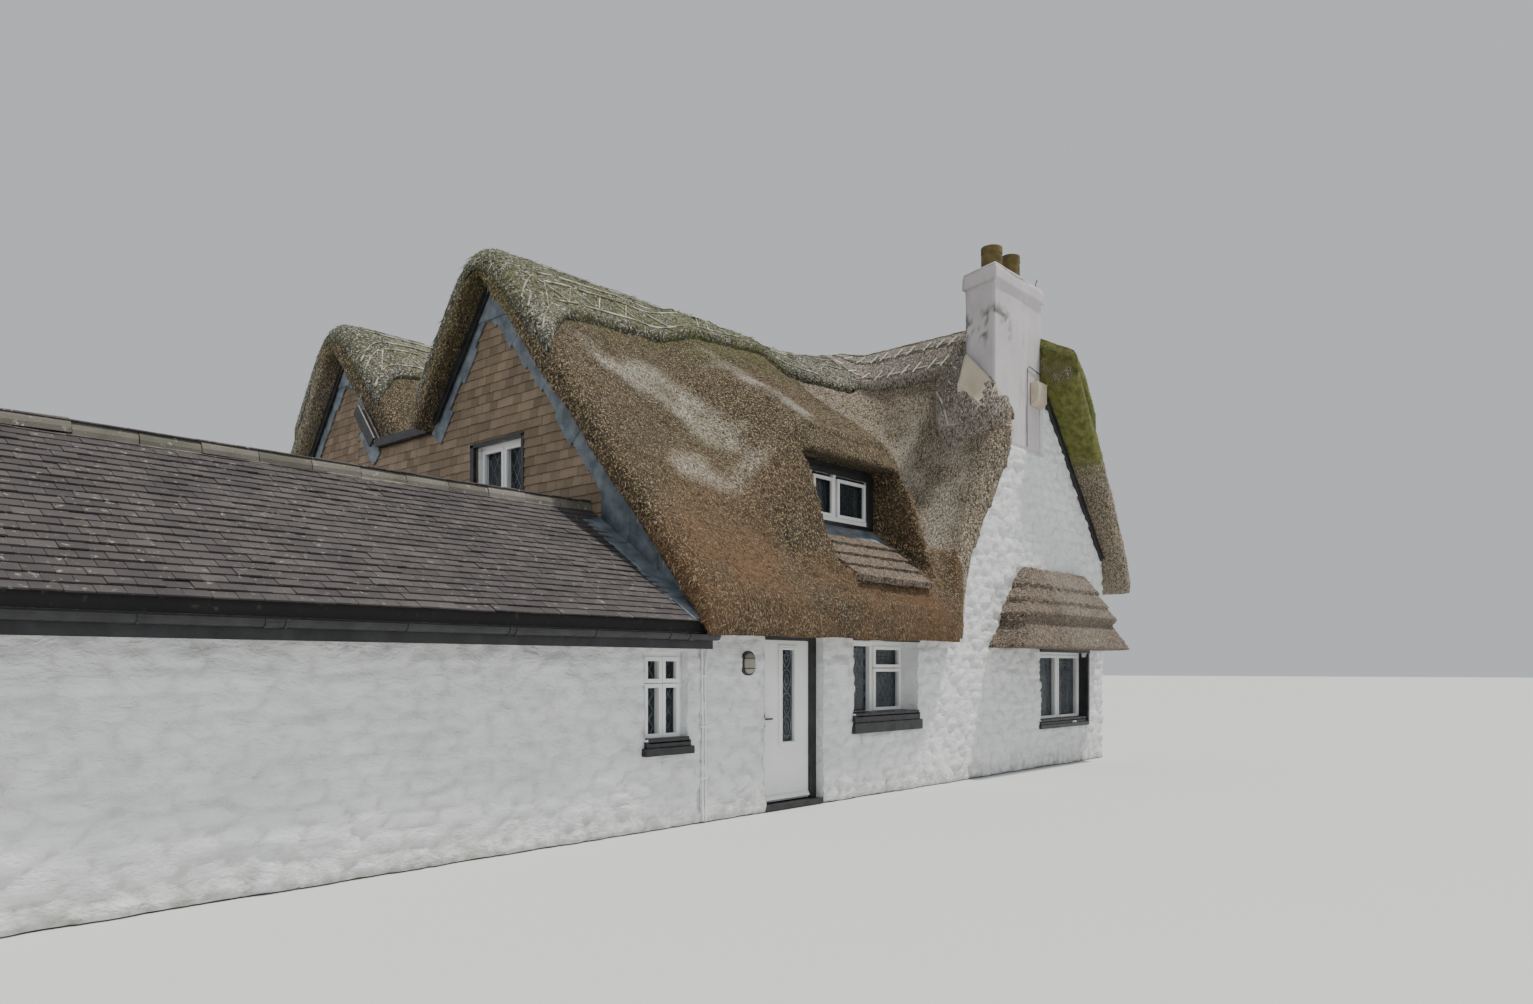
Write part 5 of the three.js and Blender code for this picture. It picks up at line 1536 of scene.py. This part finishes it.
def leading(facade, hole, out, wide, high):
    """Diamond leading inside a light, along the lines where u / wide + slope z / high is whole."""
    u0, u1, z0, z1 = hole
    segments = []
    for slope in (1, -1):
        low = min(u0 / wide + slope * z0 / high, u0 / wide + slope * z1 / high)
        high_end = max(u1 / wide + slope * z0 / high, u1 / wide + slope * z1 / high)
        for k in range(math.ceil(low), math.floor(high_end) + 1):
            ends = []
            for u in (u0, u1):
                z = slope * high * (k - u / wide)
                if z0 <= z <= z1:
                    ends.append((u, z))
            for z in (z0, z1):
                u = wide * (k - slope * z / high)
                if u0 < u < u1:
                    ends.append((u, z))
            if len(ends) >= 2 and math.dist(ends[0], ends[1]) > LEADING["least"]:
                segments.append((ends[0], ends[1]))
    return facade.bars(segments, out, LEADING["width"], LEADING["thick"])


def sash(facade, hole, out, width, thick):
    u0, u1, z0, z1 = hole
    half = width / 2
    rails = [((u0, z), (u1, z)) for z in (z0 + half, z1 - half)]
    stiles = [((u, z0 + width), (u, z1 - width)) for u in (u0 + half, u1 - half)]
    return facade.bars(rails + stiles, out, width, thick)


def halves(hole, gap):
    """The left and right half of an opening, each short of its middle by a gap."""
    u0, u1, z0, z1 = hole
    middle = (u0 + u1) / 2
    return [(u0, middle - gap, z0, z1), (middle + gap, u1, z0, z1)]


def add_louvres(pile, facade, hole, out):
    """A shutter with tilted slats."""
    u0, u1, z0, z1 = hole
    pile.add(sash(facade, hole, out, 0.045, 0.028))
    zs = np.arange(z0 + 0.07, z1 - 0.055, 0.052)
    a, b = facade.at(u0 + 0.04, zs, out), facade.at(u1 - 0.04, zs, out)
    pile.add(beams(a, b, unit(facade.out + UP), 0.058, 0.007))


def dress_window(name, facade, back, lights, panes=None, shutters=(), diamonds=(0.105, 0.165)):
    """Sashes, leading and shutters for one window whose frame face lies back from the wall."""
    frames, lines, slats = Pile(), Pile(), Pile()
    for light in lights:
        frames.add(sash(facade, light, -back + 0.010, SASH_WIDTH, 0.040))
    for pane in panes or lights:
        lines.add(leading(facade, inset(pane, SASH_WIDTH - 0.002), -back - 0.058, *diamonds))
    frames.piece(f"{name}_sashes", WHITE, bevel=0.003)
    lines.piece(f"{name}_leading", LEAD)
    for shutter in shutters:
        add_louvres(slats, facade, shutter, -back - 0.105)
    if shutters:
        slats.piece(f"{name}_shutters", WHITE)


def sill(name, hole, left, rise, out, back):
    """A black painted sill with a stepped face, which runs in under the frame."""
    u0, u1, top = hole[0] - left, hole[1] + 0.05, hole[2] + 0.002
    solids = Pile()
    solids.block((u0, -out, top - rise), (u1, 0.02, top - rise * 0.35))
    solids.block((u0 + 0.03, -out + 0.022, top - rise * 0.35), (u1 - 0.03, 0.02, top + 0.02))
    solids.block((u0 + 0.052, -out + 0.022, top - 0.004), (u1 - 0.052, back - 0.004, top + 0.052))
    solids.piece(name, BLACK, bevel=0.005)


def plain_window(name, facade, holes, back):
    frames, bars = Pile(), Pile()
    for hole in holes:
        u0, u1, z0 = hole[:3]
        frames.add(sash(facade, inset(hole, 0.004), -back, 0.062, 0.070))
        for light in halves(inset(hole, 0.06), 0.0):
            frames.add(sash(facade, light, -back + 0.016, 0.045, 0.045))
            bars.add(leading(facade, inset(light, 0.045), -back - 0.012, 0.115, 0.18))
        bars.add(facade.bars([((u0 - 0.04, z0 - 0.035), (u1 + 0.04, z0 - 0.035))], 0.02, 0.07, 0.13))
    frames.piece(f"{name}_frames", WHITE, bevel=0.003)
    bars.piece(f"{name}_leading", LEAD)


def front_windows():
    u0, u1, z0, z1 = FRONT_WINDOW
    upper = (3.40, u1 - 0.055, 1.585, z1 - 0.055)
    lower = (3.40, u1 - 0.055, z0 + 0.055, 1.575)
    fixed = (u0 + 0.02, 3.38, z0 + 0.02, z1 - 0.02)
    shutters = [(u0 + 0.08, 3.33, z0 + 0.09, z1 - 0.08), (3.42, u1 - 0.07, z0 + 0.09, z1 - 0.08)]
    dress_window("front_window", FRONT, 0.22, [upper, lower], [fixed, upper, lower], shutters)
    sill("front_window_sill", FRONT_WINDOW, 0.05, 0.20, 0.090, 0.22)
    u0, u1, z0, z1 = CANOPY_WINDOW
    lights = halves(inset(CANOPY_WINDOW, (0.05, 0.05, 0.055, 0.05)), 0.02)
    dress_window("canopy_window", FRONT, 0.12, lights, shutters=[inset(light, 0.02) for light in lights])
    post = Pile().block((u1 - 0.004, -0.068, z0 - 0.04), (u1 + 0.065, 0.10, z1 + 0.05))
    post.block((u0 - 0.05, -0.075, z1 - 0.004), (u1 + 0.070, 0.08, z1 + 0.10))
    post.piece("canopy_window_post", BLACK, bevel=0.004)
    sill("canopy_window_sill", CANOPY_WINDOW, 0.04, 0.10, 0.07, 0.12)
    u0, u1, z0, z1 = inset(WING_WINDOW, 0.05)
    columns, rows = [(u0, -0.478), (-0.472, u1)], [(z0, 1.426), (1.432, z1)]
    dress_window("wing_window", FRONT, 0.06, [(*column, *row) for row in rows for column in columns])
    sill("wing_window_sill", WING_WINDOW, 0.04, 0.12, 0.090, 0.06)


def gable_window():
    u0, u1, z0, z1 = GABLE_WINDOW
    dress_window("gable_window", LEFT, 0.06, halves(inset(GABLE_WINDOW, 0.045), 0.012), diamonds=(0.14, 0.24))
    trims = Pile()
    for a, b in ((u0 - 0.045, u0 + 0.004), (u1 - 0.004, u1 + 0.075)):
        trims.add(LEFT.bars([(((a + b) / 2, z0 - 0.03), ((a + b) / 2, z1 + 0.03))], 0.055, b - a, 0.05))
    for z, out, thick in ((z1 + 0.02, 0.055, 0.05), (z0 - 0.02, 0.06, 0.06)):
        trims.add(LEFT.bars([((u0 - 0.045, z), (u1 + 0.075, z))], out, 0.05, thick))
    trims.piece("gable_window_trim", BLACK, bevel=0.004)


def dormer_window():
    facade = Facade((0, DORMER["y"]), (1, 0), (0, -1))
    low, high = node_box("dormer_frame")
    right, head = high[0] - 0.09, high[2] - 0.07
    edges = [low[0], lerp(low[0], high[0], 0.33), lerp(low[0], high[0], 0.59), right]
    frames = Pile()
    for a, b in zip(edges[:-1], edges[1:]):
        light = (a + 0.045, b - 0.045, low[2] + 0.05, head - 0.045)
        frames.add(sash(facade, light, 0.0, 0.045, 0.036))
    frames.piece("dormer_sashes", WHITE, bevel=0.003)
    trims = Pile()
    trims.add(facade.bars([((right + 0.045, low[2]), (right + 0.045, high[2]))], 0.012, 0.092, 0.030))
    trims.add(facade.bars([((low[0], head + 0.035), (right, head + 0.035))], 0.012, 0.072, 0.030))
    trims.piece("dormer_boards", BLACK, bevel=0.004)

# Front door, with drops of leading in its light, one inside the other
DOOR_FACE = 0.10
DOOR_LIGHT = (1.43, 1.65, 0.74, 1.79)
DROP = {"half_u": 0.072, "half_z": 0.125, "bulge": 0.25, "inner_u": 0.032, "inner_z": 0.055, "step": 0.27}
CAME = {"width": 0.007, "thin": 0.006, "end": 0.004, "side": 0.088}


def door_details():
    """Trim and leading of the door's light, and the weather bar at the door's foot."""
    u0, u1, z0, z1 = DOOR_LIGHT
    trim = Pile()
    trim.add(sash(FRONT, inset(DOOR_LIGHT, -0.05), -DOOR_FACE + 0.006, 0.052, 0.030))
    trim.add(sash(FRONT, inset(DOOR_LIGHT, -0.022), -DOOR_FACE + 0.014, 0.020, 0.030))
    trim.piece("door_light_trim", WHITE, body="door", bevel=0.004)
    lines = Pile()
    out = -DOOR_FACE - 0.012
    middle = (u0 + u1) / 2
    turn = np.linspace(0, 2 * math.pi, 25)
    for z in np.arange(0.90, 1.72, DROP["step"]):
        u = middle + DROP["half_u"] * np.sin(turn) * (1 + DROP["bulge"] * np.cos(turn))
        points = FRONT.at(u, z + DROP["half_z"] * np.cos(turn), out)
        lines.add(strip(points, FRONT.out, CAME["width"], CAME["thin"]))
        u = middle + DROP["inner_u"] * np.sin(turn)
        points = FRONT.at(u, z + DROP["inner_z"] * np.cos(turn), out)
        lines.add(strip(points, FRONT.out, CAME["thin"], CAME["thin"]))
    sides = (middle - CAME["side"], middle + CAME["side"])
    uprights = [((u, z0 + CAME["end"]), (u, z1 - CAME["end"])) for u in sides]
    rails = [((u0 + CAME["end"], z), (u1 - CAME["end"], z)) for z in (0.80, 1.73)]
    lines.add(FRONT.bars(uprights + rails, out, CAME["width"], CAME["thin"]))
    lines.piece("door_leading", LEAD, body="door")
    bar = Pile()
    y, z = DOOR_FACE - 0.018, 0.115
    bar.add(beams([[1.09, y, z]], [[1.905, y, z]], (0, -1, 0.5), 0.055, 0.034))
    bar.piece("door_weather_bar", WHITE, body="door", bevel=0.004)


# Lamp: its profiles are (share of the half size, out) pairs
LAMP_BASE = [(1.0, 0.006), (1.0, 0.048), (0.94, 0.056), (0.78, 0.056)]
LAMP_LENS = [(1.0, 0.050), (0.98, 0.064), (0.86, 0.081), (0.62, 0.091), (0.3, 0.095), (0.05, 0.0955)]


def oval(centre, half_x, half_z, profile):
    """A closed dished oval on the front wall."""
    sides = 36
    turn = np.arange(sides) * 2 * math.pi / sides
    across = half_x * np.sign(np.cos(turn)) * np.abs(np.cos(turn)) ** 0.8
    rise = half_z * np.sign(np.sin(turn)) * np.abs(np.sin(turn)) ** 0.8
    rings = [xyz(centre[0] + share * across, -out, centre[2] + share * rise) for share, out in profile]
    return np.concatenate(rings), ring_faces(len(profile), sides)


def lamp():
    low, high = node_box("wall_lamp")
    centre, half = (low + high) / 2, (high - low) / 2
    base = oval(centre, half[0] + 0.004, half[2] + 0.002, LAMP_BASE)
    Pile().add(base).piece("lamp_base", IRON, replaces=("wall_lamp",))
    lens = oval(centre, half[0] - 0.016, half[2] - 0.018, LAMP_LENS)
    Pile().add(lens).piece("lamp_lens", LENS, smooth=True)
    bars = Pile()
    turn = np.linspace(-1, 1, 11)
    for z in (-0.055, 0.055):
        y = -0.060 - 0.036 * np.sqrt(np.maximum(0, 1 - turn * turn))
        points = xyz(centre[0] + turn * (half[0] - 0.018), y, centre[2] + z)
        bars.add(strip(points, UP, 0.008, 0.009))
    bars.piece("lamp_bars", IRON)


def wall_pipes():
    pipes = Pile()
    zs = np.linspace(0.02, 1.86, 24)
    top = clamp((zs - 1.45) / 0.4)
    for x, bend in ((0.015, 0.0), (0.058, 0.05)):
        wobble = noise(xyz(x, zs, zs), 2.0, 91) * 0.006
        pipes.add(tube(xyz(x + wobble + bend * top * top, -0.042, zs), 0.010))
    for z in (0.45, 0.98, 1.5):
        pipes.block((-0.008, -0.055, z - 0.010), (0.085, -0.012, z + 0.010))
    pipes.piece("wall_pipes", WHITE)


# Chimney, with levels as (z, how far out) pairs and pots as (share of the radius, share of the height)
GRID_STEP = 0.05
BAND = [
    (7.392, 0.026), (7.40, 0.036), (7.44, 0.038), (7.50, 0.036), (7.55, 0.036), (7.60, 0.030), (7.628, 0.012),
]
FLAUNCHING = [(7.60, 0.0), (7.635, 0.0), (7.665, -0.10), (7.70, -0.22)]
POTS = [("chimney_pot_left", 6.72, 0.165, 8.06), ("chimney_pot_right", 7.33, 0.150, 8.11)]
POT_FOOT = 7.632
POT_WALL = 0.026
POT_OUTSIDE = [(0.985, 0.0), (0.975, 0.70), (0.95, 0.72), (0.95, 0.75), (1.0, 0.77), (1.0, 0.97), (0.98, 1.0)]
STACK_BOX = (7.42, 7.755, 5.72, 6.08)
STACK_BOX_OUT = 0.12
TOP_ROD = [(7.70, 0.06, 7.62), (7.71, 0.05, 7.74), (7.735, 0.04, 7.80)]
CABLE_Y = -0.012
CABLE = [
    [(7.29, CABLE_Y, 6.10), (7.30, CABLE_Y, 6.28), (7.36, CABLE_Y, 6.32), (7.76, CABLE_Y, 6.27)],
    [(7.29, CABLE_Y, 6.10), (7.28, CABLE_Y, 5.6), (7.285, CABLE_Y, 5.05)],
]


def soft_tower(name, outline, levels, rough, seed, replaces=()):
    """A closed rendered tower from a plan outline at levels, with an uneven skin."""
    outline = np.array(outline, float)
    after = np.roll(outline, -1, axis=0)
    counts = [max(2, round(math.dist(a, b) / GRID_STEP)) for a, b in zip(outline, after)]
    centre = outline.mean(axis=0)
    rings = []
    for z, out in levels:
        ring = []
        for a, b, count in zip(outline, after, counts):
            a, b = a + np.sign(a - centre) * out, b + np.sign(b - centre) * out
            ring.extend([*lerp(a, b, share), z] for share in np.linspace(0, 1, count, endpoint=False))
        rings.append(ring)
    rings = np.array(rings)
    outward = rings - rings.mean((0, 1))
    outward[..., 2] = 0
    flat = rings.reshape(-1, 3)
    wave = noise(flat, 1.7, seed) * 0.010 + noise(flat, 7.0, seed + 1) * 0.004
    wave = (wave + noise(flat, 19.0, seed + 2) * 0.002) * rough
    flat = flat + unit(outward.reshape(-1, 3)) * (wave - 0.006 * rough)[:, None]
    faces = ring_faces(*rings.shape[:2])
    make_piece(name, flat, faces, RENDER, smooth=True, replaces=replaces, marks=mould_marks)


def mould_marks(points):
    x, _, z = points.T
    left = ease((6.95 - x) / 0.5) * ease((z - 6.30) / 0.35) * ease((7.15 - z) / 0.30)
    spots = noise(points * np.array([1, 1, 0.6]), 5.0, 107) * 1.2 + noise(points, 15.0, 102) * 0.9
    top = ease((z - 7.56) / 0.08) * clamp(0.25 + noise(points, 9.0, 103)) * 0.8
    return {"mould": clamp(left * clamp(spots + 0.15) * 1.3 + top)}


def stack():
    x0, x1, back = STACK["x0"], STACK["x1"], STACK["back"]
    zs = [*np.arange(5.0, 7.38, 0.06), 7.385]
    outline = [(x0, 0.0), (x1, 0.0), (7.60, back), (6.45, back)]
    soft_tower("stack_render", outline, [(z, 0.0) for z in zs] + BAND, 1.1, 111, ("chimney_stack",))
    outline = [(x0 - 0.02, -0.02), (x1 + 0.02, -0.02), (7.62, back + 0.02), (6.43, back + 0.02)]
    soft_tower("stack_flaunching", outline, FLAUNCHING, 1.0, 114)
    for name, x, radius, top in POTS:
        inner, high = radius - POT_WALL, top - POT_FOOT
        profile = [(radius * share, high * rise) for share, rise in POT_OUTSIDE]
        profile += [(inner, high), (inner * 0.98, high * 0.9), (inner * 0.97, 0.06)]
        solid = lathe(profile, 40, (x, back / 2, POT_FOOT))
        Pile().add(solid).piece(f"{name}_turned", POT, replaces=(name,))
    trims = Pile().add(tube(TOP_ROD, 0.008, 6))
    for run in CABLE:
        trims.add(tube(run, 0.006, 6))
    trims.piece("stack_cable", BLACK)


def stack_box():
    x0, x1, z0, z1 = STACK_BOX
    out = STACK_BOX_OUT
    front = [(x0, -out, z0 + 0.06), (x1, -out, z0 + 0.06), (x1, -out, z1), (x0, -out, z1)]
    rear = [(x0, -0.004, z0), (x1, -0.004, z0), (x1, -0.004, z1), (x0, -0.004, z1)]
    box = Pile().add((front + rear, BOX_FACES))
    x, y, z = x0 + 0.02, -out - 0.004, z1 + 0.004
    box.add(beams([[x, y, z0 + 0.09]], [[x, y, z1 - 0.02]], (0, -1, 0), 0.010, 0.010))
    box.add(beams([[x0 - 0.004, -out / 2, z]], [[x1 + 0.004, -out / 2, z]], UP, out + 0.008, 0.012))
    box.piece("stack_box", CEMENT, bevel=0.008)


def shoulder():
    """A cement fillet that sweeps down from the stack's left side and round its corner."""
    u, v = unit_grid(16, 16)
    x, y = lerp(SHOULDER["x0"], SHOULDER["x1"], u), lerp(SHOULDER["y0"], SHOULDER["y1"], v)
    top = xyz(x, y, shoulder_top(x, y))
    top[..., 2] += noise(top, 6.0, 121) * 0.008
    solids = Pile().add(sheet_slab(top, xyz(x, y, 5.25)))
    smooth_faces = (u.shape[0] - 1) * (u.shape[1] - 1)
    u, v = unit_grid(6, 14)
    x = lerp(6.235, 6.74, u)
    crest = lerp(5.81, 5.50, u) + 0.02 * np.sin(u * 5)
    z = lerp(crest, 5.20, v)
    solids.add(sheet_slab(xyz(x, 0.01, z), xyz(x, -0.020 - 0.045 * v, z)))
    solids.piece("shoulder_cement", CEMENT, smooth=smooth_faces, replaces=("chimney_shoulder",))


# Canopy over the right window
CANOPY = {"foot": 2.36, "course": 0.235, "step": 0.040, "top": 3.05}


def canopy_courses(points, normals):
    """Courses of the canopy's upper layer, each proud of the one below at its cut edge."""
    height = (points[:, 2] - CANOPY["foot"]) / CANOPY["course"]
    wave = 0.05 * np.sin(points[:, 0] * 21) * (np.abs(normals[:, 1]) > 0.4)
    rising = (height + wave) % 1.0
    outer = (height > 0.05) & (points[:, 2] < CANOPY["top"]) & (normals[:, 2] < 0.9)
    return points + normals * np.where(outer, (1 - rising) * CANOPY["step"], 0)[:, None]


def canopy():
    surface = thatch_body(
        "canopy_reed", "canopy_thatch", APRON, 0.034,
        snap=False, depth=0.55, smoothing=2, shape=canopy_courses,
    )
    straws("canopy_reed_ends", surface, 7000, 0.060, 0.005, RIDGE_STRAW, 131)


NODE_LOOKS = {
    LIMEWASH: (
        "front_gable_wall", "front_wall_left", "front_wall_over_door", "front_wall_right", "left_gable_wall",
        "rear_wall", "right_wall", "wing_end_wall", "wing_front_wall", "wing_rear_wall",
    ),
    BLACK: ("door_frame", "dormer_surround", "valley_gutter", "wing_fascia", "wing_gutter"),
    IRON: ("door_handle",),
    WHITE: (
        "front_door", "front_window_frame", "canopy_window_frame", "wing_window_frame", "gable_window_frame",
        "dormer_frame",
    ),
    GLASS: (
        "door_glass", "front_window_glass", "canopy_window_glass", "wing_window_glass", "gable_window_glass",
        "dormer_glass", "rear_glazing", "right_glazing",
    ),
    HUNG_TILE: ("gable_tiles", "rear_gable_tiles"),
    # The wing's roof slabs take the near black painted shade under the tiles.
    SHADE_UNDER_TILES: ("wing_roof_front", "wing_roof_back"),
    LEAD: ("valley_roof",),
    FLOOR: ("ground_floor", "wing_floor"),
    BOARDS: ("upper_floor",),
}


def dress_nodes():
    for look, names in NODE_LOOKS.items():
        for name in names:
            for slot in NODES[name].material_slots:
                slot.material = look.material


thatch()
range_ridge("main_ridge_reed", "main_ridge", MAIN, MAIN_REACH, -0.45, 9000, 21)
range_ridge("rear_ridge_reed", "rear_ridge", REAR, REAR_REACH, -0.10, 3000, 25)
cross_ridge()
stack_apron()
dormer_apron()
canopy()
walls()
wing_tiles()
wing_ridge()
wing_gutter_fittings()
tile_hanging()
gable_lead()
abutment_lead()
boards()
front_windows()
gable_window()
plain_window("rear_windows", BACK, REAR_WINDOWS, 0.30)
plain_window("right_windows", RIGHT, RIGHT_WINDOWS, 0.30)
dormer_window()
door_details()
lamp()
wall_pipes()
stack()
stack_box()
shoulder()
dress_nodes()


# Floor, lights and camera
def stage():
    bpy.ops.mesh.primitive_plane_add(size=400, location=(0, 0, -0.012))
    floor = bpy.context.object
    floor.name = "studio_floor"
    material = bpy.data.materials.new("studio_floor")
    material.use_nodes = True
    shader = material.node_tree.nodes["Principled BSDF"]
    shader.inputs["Base Color"].default_value = (0.60, 0.61, 0.60, 1.0)
    shader.inputs["Roughness"].default_value = 0.9
    floor.data.materials.append(material)
    floor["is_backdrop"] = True


def light(name, kind, energy, aim, place, spread, colour):
    """A light with its spread in metres for an area and in radians for a sun."""
    data = bpy.data.lights.new(name, kind)
    data.energy = energy
    data.color = colour
    setattr(data, "size" if kind == "AREA" else "angle", spread)
    source = bpy.data.objects.new(name, data)
    bpy.context.scene.collection.objects.link(source)
    source.location = place
    source.rotation_euler = (Vector(aim) - Vector(place)).to_track_quat("-Z", "Y").to_euler()


def lights():
    world = bpy.data.worlds.new("studio")
    world.use_nodes = True
    sky = world.node_tree.nodes["Background"]
    sky.inputs["Color"].default_value = (0.86, 0.90, 0.95, 1.0)
    sky.inputs["Strength"].default_value = 0.62
    bpy.context.scene.world = world
    light("key_sun", "SUN", 4.0, (0, 0, 0), (7, -5, 22), math.radians(4), (1.0, 0.96, 0.90))
    light("fill", "AREA", 900, (0, 0, 3), (-22, -20, 12), 14, (0.92, 0.96, 1.0))


CAMERA = {"place": (-7.405, -7.3425, 1.58), "heading": 40.925, "focal_px": 1015.0, "horizon_px": 668.0}
IMAGE = {"width": 1533, "height": 1004}


def camera():
    data = bpy.data.cameras.new("photo_camera")
    data.sensor_width = 36.0
    data.lens = CAMERA["focal_px"] * data.sensor_width / IMAGE["width"]
    data.shift_y = (CAMERA["horizon_px"] - IMAGE["height"] / 2) / IMAGE["width"]
    data.clip_start, data.clip_end = 0.1, 500.0
    shot = bpy.data.objects.new("photo_camera", data)
    bpy.context.scene.collection.objects.link(shot)
    shot.location = Vector(np.array(CAMERA["place"]) + HOME)
    heading = math.radians(CAMERA["heading"])
    forward = Vector((math.cos(heading), math.sin(heading), 0.0))
    shot.rotation_euler = forward.to_track_quat("-Z", "Y").to_euler()
    bpy.context.scene.camera = shot


stage()
lights()
camera()

sizes = {"cad": CAD_BOX, "visual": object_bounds()}
{key: [list(corner) for corner in value] for key, value in sizes.items()}
